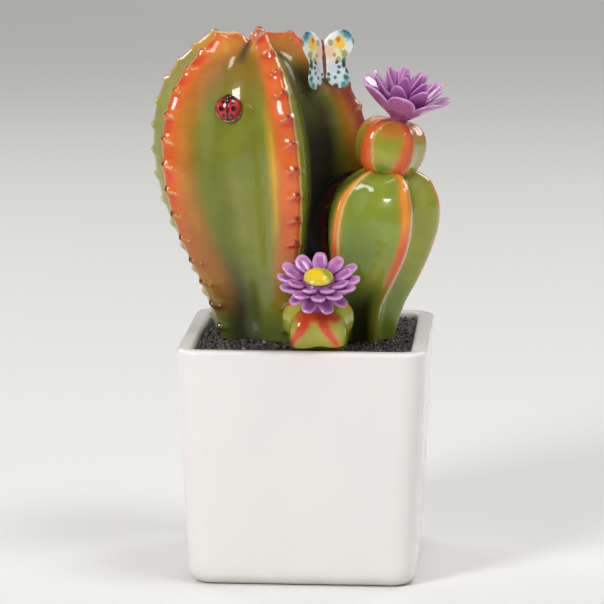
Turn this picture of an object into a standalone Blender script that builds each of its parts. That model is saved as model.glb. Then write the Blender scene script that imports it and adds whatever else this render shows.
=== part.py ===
"""Glazed ceramic cactus ornament in a square white pot.

Millimetre figures are turned into metres by MM. The origin is at the middle of
the pot's underside, +Z is up and the front of the ornament faces -Y.
Azimuths are in degrees, from the front (-Y) turning towards +X.
"""
import math

import bmesh
import bpy
import numpy as np
from mathutils import Matrix, Vector

MM = 0.001
GAP = 0.3            # clearance between separate pieces
RIB_GATHER = 0.42    # how far the columns of a ribbed body gather at its crests

# Pot
POT_TOP = 50.0       # half width at the rim
POT_FOOT = 45.6      # half width just above the foot
POT_HEIGHT = 96.0
POT_CORNER = 10.0    # radius of the upright corners
POT_WALL = 6.7
POT_FLOOR = 9.0
CORNER_STEPS = 6

# Grit filling
GRIT_TOP = 94.0
PLUG_DEPTH = 12.0    # how deep each cactus foot stands in the grit

# Large cactus: rows of crest radius, crest height, valley radius, valley height
LARGE_RIBS = (24.0, 96.0, 172.0, 250.0, 312.0)
LARGE_ROWS = (
    (24.6, 94.3, 18.5, 94.3), (26.2, 103, 18, 103), (29.6, 113, 19, 113), (35.2, 125, 21.5, 125),
    (41.0, 138.5, 24.5, 138), (45.0, 152, 27, 151), (46.4, 166, 28.5, 164.5), (45.0, 180.5, 28, 178),
    (40.4, 193.4, 25.5, 190), (33.2, 203.6, 21.5, 199.2), (25.0, 211.0, 16.5, 206), (17.2, 216.4, 11, 210),
    (10, 217, 6.5, 212), (4, 216, 3, 213.4), (0.8, 214.4, 0.8, 214.4))
LARGE_AXIS = ((-16.0, 4.0, 94), (-18.6, 4.0, 130), (-20.7, 4.0, 160), (-22.9, 4.0, 190), (-23.6, 4.0, 220))
LARGE_PLUG = 15.0
LARGE_SHARPNESS = 1.6
VALLEY_FLATNESS = 0.85   # how far a valley is drawn out from round towards flat
LUMP_PITCH = 10.2    # spacing of the spine lumps along each crest
LUMP_HEIGHT = 1.2
LUMP_LENGTH = 2.4

# Right cactus: body and the round joint on its top
RIGHT_RIBS = (34.0, 104.0, 178.0, 254.0, 332.0)
RIGHT_REACH = (1.0, 1.0, 0.84, 0.64, 1.0)    # the two ribs that face the large cactus are shorter
RIGHT_ROOM = 0.84    # share of the crest radius that neighbours keep clear of
RIGHT_TWIST = 17.0   # degrees that the ribs turn from the foot up to mid-height
RIGHT_TWIST_RISE = 42.0
RIGHT_ROWS = (
    (11.2, 94.3, 9.2, 94.3), (12.6, 100, 9.4, 100), (16.0, 109, 11.6, 109), (21.4, 119.5, 15.6, 119.5),
    (26.3, 131, 19.6, 131), (28.4, 141, 22, 141), (27.2, 151, 21.8, 150), (22.4, 158.5, 18.2, 157.2),
    (14.5, 163.2, 11.8, 162), (7, 165, 6, 164.2), (1.2, 165, 1.2, 165))
RIGHT_AXIS = ((24.3, -6.0, 94), (23.6, -7.5, 110), (25.0, -9.4, 135), (27.0, -10.4, 155), (30.8, -11.0, 166))
RIGHT_PLUG = 7.0
RIGHT_SHARPNESS = 1.2
RIGHT_CLEFT = 0.82   # valley radius of the first gap, against the others
BALL_RIBS = (32.0, 104.0, 176.0, 248.0, 320.0)
BALL_ROWS = (
    (2.0, -12.4, 2.0, -12.4), (8.4, -11.2, 7.5, -10.6), (13.0, -7, 11.5, -6.6), (14.9, 0, 13.0, 0),
    (13.4, 6.8, 11.7, 6.4), (9.0, 10.8, 7.8, 9.8), (2.0, 11.8, 2.0, 11.8))
BALL_CENTRE = (33.4, -11.0, 172.9)
BALL_TILT = 12.0     # leans to the right
BALL_SHARPNESS = 1.2

# Small front cactus
FRONT_RIBS = (44.0, 116.0, 184.0, 252.0, 324.0)
FRONT_ROWS = (
    (11.6, -0.2, 9.2, -0.2), (13.2, 4, 10, 4), (15.0, 9, 11.4, 9), (15.0, 14.0, 11.4, 13.6),
    (12.6, 18.2, 10.0, 17.4), (7.4, 20.6, 6.6, 20.0), (1.5, 21.2, 1.5, 21.2))
FRONT_BASE = (6.3, -31.0, 94.5)
FRONT_LEAN = 22.0    # degrees forward
FRONT_PLUG = 7.0
FRONT_SHARPNESS = 1.1

# Flowers: one row per ring of petals: count, first azimuth, root radius, root height, elevation,
# length, width, thickness, depth of the hollow upper face, upward curl
FRONT_FLOWER_PLACE = (7.2, -46.8, 125.8)    # middle of the yellow disc's underside
FRONT_FLOWER_TILT = (25.0, 2.0)             # towards the front, towards the right
FRONT_FLOWER_RINGS = (
    (9, 13.0, 5.5, -1.9, 24.0, 9.1, 5.8, 2.3, 0.5, 0.06),
    (12, 2.0, 5.1, -3.1, 12.0, 12.5, 6.2, 2.3, 0.5, 0.08),
    (8, 24.0, 3.3, -6.2, -20.0, 9.7, 6.0, 2.3, 0.4, 0.0))
FRONT_FLOWER_CORE = ((3.0, -15.4), (3.8, -14.8), (4.4, -9.0), (6.0, -4.8), (6.7, -2.0), (6.2, -0.8), (5.6, -0.4))
DISC_RADIUS = 5.9
DISC_HEIGHT = 2.6
TOP_FLOWER_PLACE = (36.8, -11.0, 183.9)     # where the bloom meets the ball
TOP_FLOWER_TILT = (6.0, 15.0)
TOP_FLOWER_RINGS = (
    (7, 12.0, 4.4, 2.2, 44.0, 18.0, 11.4, 2.4, 0.7, -0.09),
    (8, 31.0, 4.2, 4.4, 52.0, 17.0, 7.8, 2.1, 0.6, -0.05),
    (7, 3.0, 3.2, 6.0, 63.0, 15.8, 6.2, 2.0, 0.5, -0.02),
    (5, 41.0, 1.8, 7.2, 77.0, 14.4, 5.0, 1.9, 0.4, 0.0))
TOP_FLOWER_CORE = ((2.6, -3.0), (3.4, -2.4), (3.8, 1.0), (6.4, 2.9), (8.2, 5.4), (9.0, 8.4), (6.6, 10.2), (2.6, 10.8))

# Ladybird and butterfly
LADYBIRD_PLACE = (-30.2, -22.3, 189.35)
LADYBIRD_FACING = (-0.06, -0.97, 0.25)
LADYBIRD_RADIUS = 5.0
LADYBIRD_HEIGHT = 3.4
LADYBIRD_HEAD = 1.9  # radius of the half ball that is its head
BUTTERFLY_PLACE = (5.7, 0.9, 206.3)
BUTTERFLY_YAW = 28.0
BUTTERFLY_LEAN = 8.0
WING_RAISE = 27.0
WING_THICKNESS = 1.2


def spline(rows, t):
    """Smooth curve through the rows, t from 0 to 1."""
    table = np.asarray(rows, float)
    last = len(table) - 1
    place = min(max(t, 0.0), 1.0) * last
    i = min(int(place), last - 1)
    u = place - i
    a, b, c, d = (table[min(max(k, 0), last)] for k in (i - 1, i, i + 1, i + 2))
    return 0.5 * (2 * b + (c - a) * u + (2 * a - 5 * b + 4 * c - d) * u * u + (3 * b - a - 3 * c + d) * u ** 3)


def axis_at(points, height):
    """Centre of a leaning body at one height."""
    table = np.asarray(points, float)
    return np.array([np.interp(height, table[:, 2], table[:, k]) for k in (0, 1)])


def bearing(azimuth):
    angle = math.radians(azimuth)
    return np.array([math.sin(angle), -math.cos(angle)])


def rib_columns(ribs, per_rib):
    """Azimuth, rib strength (0 crest, 1 valley), angle from the valley, half the gap, gap number."""
    columns = []
    for i, start in enumerate(ribs):
        end = ribs[(i + 1) % len(ribs)]
        span = (end - start) % 360.0
        for j in range(per_rib):
            u = j / per_rib
            share = u - RIB_GATHER * math.sin(2 * math.pi * u) / (2 * math.pi)
            columns.append((start + span * share, 2 * min(share, 1 - share), span * (share - 0.5), span / 2, i))
    return columns


def smooth(x):
    x = min(max(x, 0.0), 1.0)
    return x * x * (3 - 2 * x)


def rib_reach(azimuth, ribs, reach):
    """Blend of the ribs' own sizes at one azimuth."""
    places = list(ribs) + [ribs[0] + 360.0]
    azimuth = (azimuth - ribs[0]) % 360.0 + ribs[0]
    return float(np.interp(azimuth, places, list(reach) + [reach[0]]))


def crest_share(strength, sharpness):
    return ((1 + math.cos(math.pi * strength)) / 2) ** sharpness


def rib_section(crest_r, valley_r, share, off_valley, half_gap):
    """Reach between a valley drawn out flat and a crest."""
    def drawn(angle):
        return valley_r / math.cos(math.radians(angle * VALLEY_FLATNESS))
    return drawn(off_valley) + (crest_r - drawn(half_gap)) * share


def held_off(centre, direction, reach, height, neighbours):
    """Shorten a reach so that it stops short of the neighbouring bodies."""
    for place, radius in neighbours:
        away = place(height) - centre
        limit = radius(height)
        if limit <= 0:
            continue
        along = float(away @ direction)
        spread = along * along - float(away @ away) + limit * limit
        if along > 0 and spread > 0:
            reach = min(reach, along - math.sqrt(spread))
    return reach


def ring_loft(rings, cap_start=True, cap_end=True):
    """Closed solid through rings of points, each extruded from the one before."""
    bm = bmesh.new()
    count = len(rings[0])
    made = bmesh.ops.create_circle(bm, segments=count, radius=1.0, cap_ends=False)
    verts = made["verts"]
    for vert, point in zip(verts, rings[0]):
        vert.co = Vector(point) * MM
    edges = list(bm.edges)
    if cap_start:
        bm.faces.new(verts)
    for ring in rings[1:]:
        grown = bmesh.ops.extrude_edge_only(bm, edges=edges)["geom"]
        fresh = [item for item in grown if isinstance(item, bmesh.types.BMVert)]
        edges = [item for item in grown if isinstance(item, bmesh.types.BMEdge)
                 and item.verts[0] in fresh and item.verts[1] in fresh]
        for vert, point in zip(fresh, ring):
            vert.co = Vector(point) * MM
        verts = fresh
    if cap_end:
        bm.faces.new(verts)
    bmesh.ops.recalc_face_normals(bm, faces=bm.faces)
    return bm


def finish(bm, name, material):
    mesh = bpy.data.meshes.new(name)
    bm.to_mesh(mesh)
    bm.free()
    obj = bpy.data.objects.new(name, mesh)
    bpy.context.scene.collection.objects.link(obj)
    if material is not None:
        mesh.materials.append(material)
    return obj


def paint(name, colour, roughness):
    material = bpy.data.materials.new(name)
    material.use_nodes = True
    shader = material.node_tree.nodes["Principled BSDF"]
    shader.inputs["Base Color"].default_value = (*colour, 1.0)
    shader.inputs["Roughness"].default_value = roughness
    return material


def boolean(obj, tool, operation, collection=None):
    modifier = obj.modifiers.new(operation.title(), "BOOLEAN")
    modifier.operation = operation
    modifier.solver = "EXACT"
    if collection is None:
        modifier.object = tool
    else:
        modifier.operand_type = "COLLECTION"
        modifier.collection = collection
    bpy.context.view_layer.objects.active = obj
    with bpy.context.temp_override(object=obj, active_object=obj, selected_objects=[obj]):
        bpy.ops.object.modifier_apply(modifier=modifier.name)
    doomed = [tool] if collection is None else list(collection.objects)
    for item in doomed:
        bpy.data.objects.remove(item)
    if collection is not None:
        bpy.data.collections.remove(collection)


def plug_rings(centre, radius, columns, top):
    """Round foot of a cactus, standing in its hole in the grit."""
    rings = []
    for height in (GRIT_TOP - PLUG_DEPTH, top):
        ring = []
        for azimuth, *_ in columns:
            x, y = centre + radius * bearing(azimuth)
            ring.append((x, y, height))
        rings.append(ring)
    return rings


def rounded_square(half, corner, height):
    """Points of a square with round corners, counter-clockwise."""
    ring = []
    for quarter in range(4):
        middle = quarter * 90.0 + 45.0
        cx = math.copysign(half - corner, math.cos(math.radians(middle)))
        cy = math.copysign(half - corner, math.sin(math.radians(middle)))
        for step in range(CORNER_STEPS + 1):
            angle = math.radians(quarter * 90.0 + 90.0 * step / CORNER_STEPS)
            ring.append((cx + corner * math.cos(angle), cy + corner * math.sin(angle), height))
    return ring


def pot_half(height):
    """Half width of the pot's outside at one height."""
    return POT_FOOT + (POT_TOP - POT_FOOT) * height / POT_HEIGHT


def make_pot(material):
    inner_top = POT_TOP - POT_WALL
    inner_floor = pot_half(POT_FLOOR) - POT_WALL
    outline = (
        (POT_FOOT - 5.0, 0.0), (POT_FOOT - 2.4, 0.7), (POT_FOOT - 0.7, 2.4), (pot_half(5.0), 5.0),
        (POT_TOP, POT_HEIGHT - 1.8), (POT_TOP - 0.4, POT_HEIGHT - 0.6), (POT_TOP - 1.6, POT_HEIGHT),
        (inner_top + 1.6, POT_HEIGHT), (inner_top + 0.4, POT_HEIGHT - 0.5), (inner_top, POT_HEIGHT - 1.8),
        (inner_floor, POT_FLOOR))
    rings = []
    for half, height in outline:
        inset = pot_half(height) - half
        rings.append(rounded_square(half, max(POT_CORNER - inset, 3.0), height))
    return finish(ring_loft(rings), "pot", material)


def make_grit(material, holes):
    def half(height):
        return pot_half(height) - POT_WALL - GAP - 0.1
    rings = []
    for height in (POT_FLOOR + GAP, GRIT_TOP - 1.0, GRIT_TOP):
        inset = 0.8 if height == GRIT_TOP else 0.0
        rings.append(rounded_square(half(height) - inset, 3.2, height))
    obj = finish(ring_loft(rings), "grit", material)
    cutters = bpy.data.collections.new("holes")
    bpy.context.scene.collection.children.link(cutters)
    for (x, y), radius in holes:
        bm = bmesh.new()
        depth = PLUG_DEPTH + GAP + 5.0
        bmesh.ops.create_cone(bm, cap_ends=True, segments=24, radius1=(radius + GAP + 0.1) * MM,
                              radius2=(radius + GAP + 0.1) * MM, depth=depth * MM)
        bmesh.ops.translate(bm, verts=bm.verts, vec=Vector((x, y, GRIT_TOP + 5.0 - depth / 2)) * MM)
        tool = finish(bm, "hole", None)
        bpy.context.scene.collection.objects.unlink(tool)
        cutters.objects.link(tool)
    boolean(obj, None, "DIFFERENCE", cutters)
    return obj


def lump_height(distance):
    """Height of the spine lumps at a distance along the crest."""
    phase = (distance / LUMP_PITCH) % 1.0
    offset = (phase - 0.5) * LUMP_PITCH
    return LUMP_HEIGHT * math.exp(-((offset / LUMP_LENGTH) ** 2) * 2.0)


def right_limit(height):
    """Room that the right cactus needs at one height."""
    heights = [row[1] for row in RIGHT_ROWS]
    radii = [row[0] for row in RIGHT_ROWS]
    body = float(np.interp(height, heights, radii)) * RIGHT_ROOM + GAP + 0.4
    return body if height < heights[-2] else 0.0


def front_limit(height):
    heights = [FRONT_BASE[2] + row[1] for row in FRONT_ROWS]
    radii = [row[0] for row in FRONT_ROWS]
    return float(np.interp(height, heights, radii)) + GAP + 0.5 if height < heights[-2] else 0.0


def front_place(height):
    rise = max(height - FRONT_BASE[2], 0.0)
    return np.array([FRONT_BASE[0], FRONT_BASE[1] - rise * math.tan(math.radians(FRONT_LEAN * 0.85))])


def make_large(material):
    columns = rib_columns(LARGE_RIBS, 8)
    neighbours = ((lambda h: axis_at(RIGHT_AXIS, h), right_limit), (front_place, front_limit))
    foot = axis_at(LARGE_AXIS, GRIT_TOP)
    rings = plug_rings(foot, LARGE_PLUG, columns, LARGE_ROWS[0][1])
    steps = 46
    walked = 0.0
    before = None
    for step in range(steps + 1):
        t = step / steps
        crest_r, crest_z, valley_r, valley_z = spline(LARGE_ROWS, t)
        ahead = spline(LARGE_ROWS, min(t + 0.01, 1.0)) - spline(LARGE_ROWS, max(t - 0.01, 0.0))
        length = math.hypot(ahead[0], ahead[1])
        out_r, out_z = ahead[1] / length, -ahead[0] / length
        if before is not None:
            walked += math.hypot(crest_r - before[0], crest_z - before[1])
        before = (crest_r, crest_z)
        edge = min(1.0, step / 2, (steps - step) / 3)
        ring = []
        for azimuth, strength, off_valley, half_gap, _ in columns:
            share = crest_share(strength, LARGE_SHARPNESS)
            lump = lump_height(walked) * max(0.0, 1 - strength * 4.0) * edge
            reach = rib_section(crest_r, valley_r, share, off_valley, half_gap) + out_r * lump
            height = valley_z + (crest_z - valley_z) * share + out_z * lump
            centre = axis_at(LARGE_AXIS, height)
            direction = bearing(azimuth)
            reach = held_off(centre, direction, reach, height, neighbours)
            x, y = centre + reach * direction
            ring.append((x, y, height))
        rings.append(ring)
    return finish(ring_loft(rings), "large_cactus", material)


def make_right(material):
    columns = rib_columns(RIGHT_RIBS, 6)
    foot = axis_at(RIGHT_AXIS, GRIT_TOP)
    rings = plug_rings(foot, RIGHT_PLUG, columns, RIGHT_ROWS[0][1])
    steps = 20
    for step in range(steps + 1):
        crest_r, crest_z, valley_r, valley_z = spline(RIGHT_ROWS, step / steps)
        ring = []
        for azimuth, strength, off_valley, half_gap, gap in columns:
            share = crest_share(strength, RIGHT_SHARPNESS)
            height = valley_z + (crest_z - valley_z) * share
            depth = valley_r * (RIGHT_CLEFT if gap == 0 else 1.0)
            reach = rib_section(crest_r, depth, share, off_valley, half_gap)
            reach *= rib_reach(azimuth, RIGHT_RIBS, RIGHT_REACH)
            turn = RIGHT_TWIST * (1 - smooth((height - GRIT_TOP) / RIGHT_TWIST_RISE))
            x, y = axis_at(RIGHT_AXIS, height) + reach * bearing(azimuth - turn)
            ring.append((x, y, height))
        rings.append(ring)
    body = finish(ring_loft(rings), "right_cactus", material)
    boolean(body, make_ball(), "UNION")
    return body


def make_ball():
    columns = rib_columns(BALL_RIBS, 6)
    turn = Matrix.Rotation(math.radians(BALL_TILT), 3, "Y")
    rings = []
    steps = 12
    for step in range(steps + 1):
        crest_r, crest_z, valley_r, valley_z = spline(BALL_ROWS, step / steps)
        ring = []
        for azimuth, strength, *_ in columns:
            share = crest_share(strength, BALL_SHARPNESS)
            x, y = (valley_r + (crest_r - valley_r) * share) * bearing(azimuth)
            point = turn @ Vector((x, y, valley_z + (crest_z - valley_z) * share))
            ring.append(point + Vector(BALL_CENTRE))
        rings.append(ring)
    return finish(ring_loft(rings), "ball", None)


def make_front(material):
    columns = rib_columns(FRONT_RIBS, 6)
    neighbours = ((lambda h: axis_at(RIGHT_AXIS, h), right_limit),)
    foot = np.array(FRONT_BASE[:2])
    rings = plug_rings(foot, FRONT_PLUG, columns, FRONT_BASE[2] + FRONT_ROWS[0][1])
    steps = 13
    for step in range(steps + 1):
        crest_r, crest_z, valley_r, valley_z = spline(FRONT_ROWS, step / steps)
        ring = []
        for azimuth, strength, *_ in columns:
            share = crest_share(strength, FRONT_SHARPNESS)
            rise = valley_z + (crest_z - valley_z) * share
            x, y = (valley_r + (crest_r - valley_r) * share) * bearing(azimuth)
            angle = math.radians(FRONT_LEAN) * min(1.0, max(0.0, rise) / 8.0)
            point = Matrix.Rotation(angle, 3, "X") @ Vector((x, y, max(rise, 0.0)))
            point += Vector(FRONT_BASE)
            if rise < 0:
                point.z = FRONT_BASE[2] + rise
            centre = front_place(point.z)
            away = np.array([point.x, point.y]) - centre
            reach = float(np.linalg.norm(away))
            direction = away / max(reach, 1e-6)
            x, y = centre + held_off(centre, direction, reach, point.z, neighbours) * direction
            ring.append((x, y, point.z))
        rings.append(ring)
    return finish(ring_loft(rings), "front_cactus", material)


def flower_frame(place, tilt):
    """Local frame of a bloom: leaning to the front, then to the right."""
    turn = Matrix.Rotation(math.radians(tilt[1]), 4, "Y") @ Matrix.Rotation(math.radians(tilt[0]), 4, "X")
    return Matrix.Translation(Vector(place) * MM) @ turn


def make_petal(length, width, thickness, hollow, curl):
    """Thick rounded petal along +X with a hollow upper face."""
    bm = bmesh.new()
    bmesh.ops.create_uvsphere(bm, u_segments=8, v_segments=5, radius=1.0)
    for vert in bm.verts:
        side, up, along = vert.co.y, vert.co.x, (vert.co.z + 1) / 2
        broad = 0.62 + 0.38 * smooth(along / 0.6)
        girth = max(math.hypot(side, up), 1e-6)
        lift = up * thickness / 2
        if up > 0:
            lift -= hollow * girth * (1 - (side / girth) ** 2)
        vert.co = Vector((along * length, side * width / 2 * broad, lift + curl * length * along ** 2)) * MM
    bmesh.ops.recalc_face_normals(bm, faces=bm.faces)
    return bm


def make_flower(name, material, frame, rings, core):
    loops = []
    for radius, height in core:
        turns = [math.radians(15.0 * k) for k in range(24)]
        loops.append([(radius * math.cos(a), radius * math.sin(a), height) for a in turns])
    flower = finish(ring_loft(loops), name, material)
    petals = bpy.data.collections.new("petals")
    bpy.context.scene.collection.children.link(petals)
    for count, first, root, height, elevation, *shape in rings:
        for k in range(count):
            bm = make_petal(*shape)
            turn = Matrix.Rotation(math.radians(first + 360.0 * k / count), 4, "Z")
            raise_up = Matrix.Rotation(-math.radians(elevation), 4, "Y")
            step_out = Matrix.Translation(Vector((root, 0, height)) * MM)
            bmesh.ops.transform(bm, matrix=turn @ step_out @ raise_up, verts=bm.verts)
            petal = finish(bm, "petal", None)
            bpy.context.scene.collection.objects.unlink(petal)
            petals.objects.link(petal)
    boolean(flower, None, "UNION", petals)
    flower.data.transform(frame)
    return flower


def make_seat(body, frame, radius, depth):
    """Plain hole in a body's top for the foot of a bloom."""
    bm = bmesh.new()
    bmesh.ops.create_cone(bm, cap_ends=True, segments=24, radius1=radius * MM, radius2=radius * MM,
                          depth=(depth + 6.0) * MM, matrix=Matrix.Translation(Vector((0, 0, 3.0 - depth / 2)) * MM))
    bmesh.ops.transform(bm, matrix=frame, verts=bm.verts)
    boolean(body, finish(bm, "seat", None), "DIFFERENCE")


def make_disc(material):
    """Yellow middle of the front bloom."""
    loops = []
    for step in range(6):
        rise = math.radians(18.0 * step)
        radius = DISC_RADIUS * max(math.cos(rise), 0.08)
        turns = [math.radians(18.0 * k) for k in range(20)]
        loops.append([(radius * math.cos(a), radius * math.sin(a), DISC_HEIGHT * math.sin(rise)) for a in turns])
    disc = finish(ring_loft(loops), "flower_disc", material)
    disc.data.transform(flower_frame(FRONT_FLOWER_PLACE, FRONT_FLOWER_TILT))
    return disc


def facing_frame(place, outward):
    """Frame with +Z along an outward direction and +Y as far up as it can be."""
    z_axis = Vector(outward).normalized()
    x_axis = Vector((0, 0, 1)).cross(z_axis).normalized()
    y_axis = z_axis.cross(x_axis)
    turn = Matrix((x_axis, y_axis, z_axis)).transposed().to_4x4()
    return Matrix.Translation(Vector(place) * MM) @ turn


def make_ladybird(material):
    loops = []
    for step in range(6):
        rise = math.radians(18.0 * step)
        radius = LADYBIRD_RADIUS * max(math.cos(rise), 0.1)
        turns = [math.radians(22.5 * k) for k in range(16)]
        loops.append([(radius * math.cos(a), radius * math.sin(a), LADYBIRD_HEIGHT * math.sin(rise))
                      for a in turns])
    shell = finish(ring_loft(loops), "ladybird", material)
    bm = bmesh.new()
    bmesh.ops.create_uvsphere(bm, u_segments=10, v_segments=6, radius=LADYBIRD_HEAD * MM)
    bmesh.ops.bisect_plane(bm, geom=list(bm.verts) + list(bm.edges) + list(bm.faces), plane_co=(0, 0, 0),
                           plane_no=(0, 0, 1), clear_inner=True)
    bmesh.ops.holes_fill(bm, edges=[edge for edge in bm.edges if edge.is_boundary])
    bmesh.ops.translate(bm, verts=bm.verts, vec=Vector((0, LADYBIRD_RADIUS - 1.1, 0.15)) * MM)
    boolean(shell, finish(bm, "head", None), "UNION")
    shell.data.transform(facing_frame(LADYBIRD_PLACE, LADYBIRD_FACING))
    return shell


def wing_reach(angle):
    """Outline of one wing pair by the angle above the sideways direction."""
    fore = 13.0 * math.exp(-(((angle - 42.0) / 44.0) ** 2))
    hind = 11.2 * math.exp(-(((angle + 52.0) / 38.0) ** 2))
    return 2.6 + fore + hind


def make_butterfly(material):
    bm = bmesh.new()
    bmesh.ops.create_circle(bm, segments=36, radius=1.0, cap_ends=True, cap_tris=True)
    for vert in bm.verts:
        if vert.co.length > 0.5:
            angle = math.degrees(math.atan2(vert.co.y, abs(vert.co.x)))
            reach = wing_reach(angle)
            vert.co = Vector((vert.co.x * reach, vert.co.y * reach, 0))
        vert.co.z = abs(vert.co.x) * math.sin(math.radians(WING_RAISE))
        vert.co.x *= math.cos(math.radians(WING_RAISE))
    grown = bmesh.ops.extrude_face_region(bm, geom=list(bm.faces))["geom"]
    fresh = [item for item in grown if isinstance(item, bmesh.types.BMVert)]
    bmesh.ops.translate(bm, verts=fresh, vec=(0, 0, WING_THICKNESS))
    bmesh.ops.scale(bm, verts=bm.verts, vec=(MM, MM, MM))
    bmesh.ops.recalc_face_normals(bm, faces=bm.faces)
    wings = finish(bm, "butterfly", material)
    bm = bmesh.new()
    bmesh.ops.create_uvsphere(bm, u_segments=10, v_segments=8, radius=1.0)
    for vert in bm.verts:
        vert.co = Vector((vert.co.x * 1.2, vert.co.z * 8.6, vert.co.y * 1.3 + 0.7)) * MM
    bmesh.ops.recalc_face_normals(bm, faces=bm.faces)
    boolean(wings, finish(bm, "body", None), "UNION")
    yaw = math.radians(BUTTERFLY_YAW)
    lean = math.radians(BUTTERFLY_LEAN)
    outward = (math.sin(yaw) * math.cos(lean), -math.cos(yaw) * math.cos(lean), math.sin(lean))
    wings.data.transform(facing_frame(BUTTERFLY_PLACE, outward))
    return wings


def main():
    for obj in list(bpy.data.objects):
        bpy.data.objects.remove(obj)
    white = paint("pot_glaze", (0.80, 0.79, 0.76), 0.2)
    stone = paint("grit", (0.05, 0.05, 0.05), 0.9)
    green = paint("cactus_glaze", (0.22, 0.28, 0.04), 0.2)
    make_pot(white)
    feet = ((axis_at(LARGE_AXIS, GRIT_TOP), LARGE_PLUG), (axis_at(RIGHT_AXIS, GRIT_TOP), RIGHT_PLUG),
            (np.array(FRONT_BASE[:2]), FRONT_PLUG))
    make_grit(stone, feet)
    make_large(green)
    right = make_right(green)
    front = make_front(green)
    petal = paint("petal_glaze", (0.42, 0.13, 0.40), 0.2)
    front_frame = flower_frame(FRONT_FLOWER_PLACE, FRONT_FLOWER_TILT)
    make_seat(front, front_frame, FRONT_FLOWER_CORE[2][0] + GAP + 0.1, -FRONT_FLOWER_CORE[0][1] + GAP)
    make_flower("front_flower", petal, front_frame, FRONT_FLOWER_RINGS, FRONT_FLOWER_CORE)
    make_disc(paint("disc_glaze", (0.75, 0.52, 0.04), 0.2))
    top_frame = flower_frame(TOP_FLOWER_PLACE, TOP_FLOWER_TILT)
    make_seat(right, top_frame, TOP_FLOWER_CORE[2][0] + GAP + 0.1, -TOP_FLOWER_CORE[0][1] + GAP)
    make_flower("top_flower", petal, top_frame, TOP_FLOWER_RINGS, TOP_FLOWER_CORE)
    make_ladybird(paint("ladybird_glaze", (0.55, 0.03, 0.02), 0.2))
    make_butterfly(paint("butterfly_glaze", (0.75, 0.80, 0.80), 0.2))


main()
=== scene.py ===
# %% [markdown]
# # A glazed ceramic cactus ornament
# The real object is slip-cast pottery: a square white pot, dark grit, three glazed cacti,
# two purple blooms, a ladybird and a butterfly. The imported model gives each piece's place
# and size. This script loads it, and then dresses every piece at a finer scale.

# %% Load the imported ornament
import math
import random
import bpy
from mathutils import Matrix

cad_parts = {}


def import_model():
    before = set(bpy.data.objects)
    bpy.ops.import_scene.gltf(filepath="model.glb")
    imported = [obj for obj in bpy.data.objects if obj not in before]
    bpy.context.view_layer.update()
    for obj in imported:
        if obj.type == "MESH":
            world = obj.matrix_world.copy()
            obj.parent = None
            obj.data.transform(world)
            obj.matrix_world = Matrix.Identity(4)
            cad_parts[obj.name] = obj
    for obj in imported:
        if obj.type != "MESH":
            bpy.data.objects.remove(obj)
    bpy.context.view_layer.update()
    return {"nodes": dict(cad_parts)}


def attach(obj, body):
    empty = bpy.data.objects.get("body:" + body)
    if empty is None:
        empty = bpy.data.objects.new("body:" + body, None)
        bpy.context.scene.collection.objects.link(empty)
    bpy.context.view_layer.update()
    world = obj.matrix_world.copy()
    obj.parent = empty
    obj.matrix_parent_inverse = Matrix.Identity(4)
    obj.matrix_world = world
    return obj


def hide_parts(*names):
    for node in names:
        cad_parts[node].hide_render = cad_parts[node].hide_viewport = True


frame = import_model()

from types import SimpleNamespace

import bmesh
import bpy
import numpy as np
from mathutils import Matrix, Vector, noise

MM = 0.001
random.seed(7)
print("pieces in the packed model:", sorted(frame["nodes"]))

# %% [markdown]
# ## Smooth curves
# A potter shapes a cactus body by eye, so its profile is a smooth line. Here a few measured
# rows of radius and height are joined by one smooth curve (Catmull-Rom), which passes
# through every row. The same rows carve the solids, so both have one shape.

# %% Curve helpers
def soft_step(x):
    x = np.clip(x, 0.0, 1.0)
    return x * x * (3.0 - 2.0 * x)


def after(value, start, span):
    """Soft step from 0 at the start to 1 a span above it."""
    return soft_step((value - start) / span)


def before(value, end, span):
    """Soft step from 1 a span below the end to 0 at the end."""
    return soft_step((end - value) / span)


def within(distance, reach, blur):
    """Mask of what lies nearer than the reach, with a blurred edge."""
    return soft_step((reach - distance) / blur + 0.5)


def hump(value, middle, width):
    """Bell from 0 to 1 and back, 1 at its middle."""
    return np.exp(-(((value - middle) / width) ** 2))


def spline(rows, t):
    """Smooth curve through the rows, for an array of places from 0 to 1."""
    table = np.asarray(rows, float)
    last = len(table) - 1
    place = np.clip(t, 0.0, 1.0) * last
    i = np.minimum(place.astype(int), last - 1)
    u = (place - i)[:, None]
    a, b, c, d = (table[np.clip(i + k, 0, last)] for k in (-1, 0, 1, 2))
    bend = (2 * a - 5 * b + 4 * c - d) * u * u + (3 * b - a - 3 * c + d) * u ** 3
    return 0.5 * (2 * b + (c - a) * u + bend)


def axis_at(points, height):
    """Centre of a leaning body at each height."""
    table = np.asarray(points, float)
    return np.stack([np.interp(height, table[:, 2], table[:, k]) for k in (0, 1)], axis=-1)


def bearing(azimuth):
    """Direction for degrees from the front, turning to the right."""
    angle = np.radians(azimuth)
    return np.stack([np.sin(angle), -np.cos(angle)], axis=-1)


def wander(points, scale, seed):
    """Soft random value from -1 to 1 at each point, in millimetres."""
    shift = Vector((seed * 7.3, seed * 3.1, seed * 5.7))
    return np.array([noise.noise(Vector(p) / scale + shift) for p in points])


print("curve through three rows, half way:", spline(((0, 0), (2, 5), (3, 12)), np.array([0.5]))[0])

# %% [markdown]
# ## From a ball of clay to a piece
# Every rounded piece here starts as one UV sphere. Its meridians become the columns that
# run up the body, and its parallels become the rings, so the shape is closed from the start
# and its faces already point outwards. Only the vertices are moved.

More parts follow.
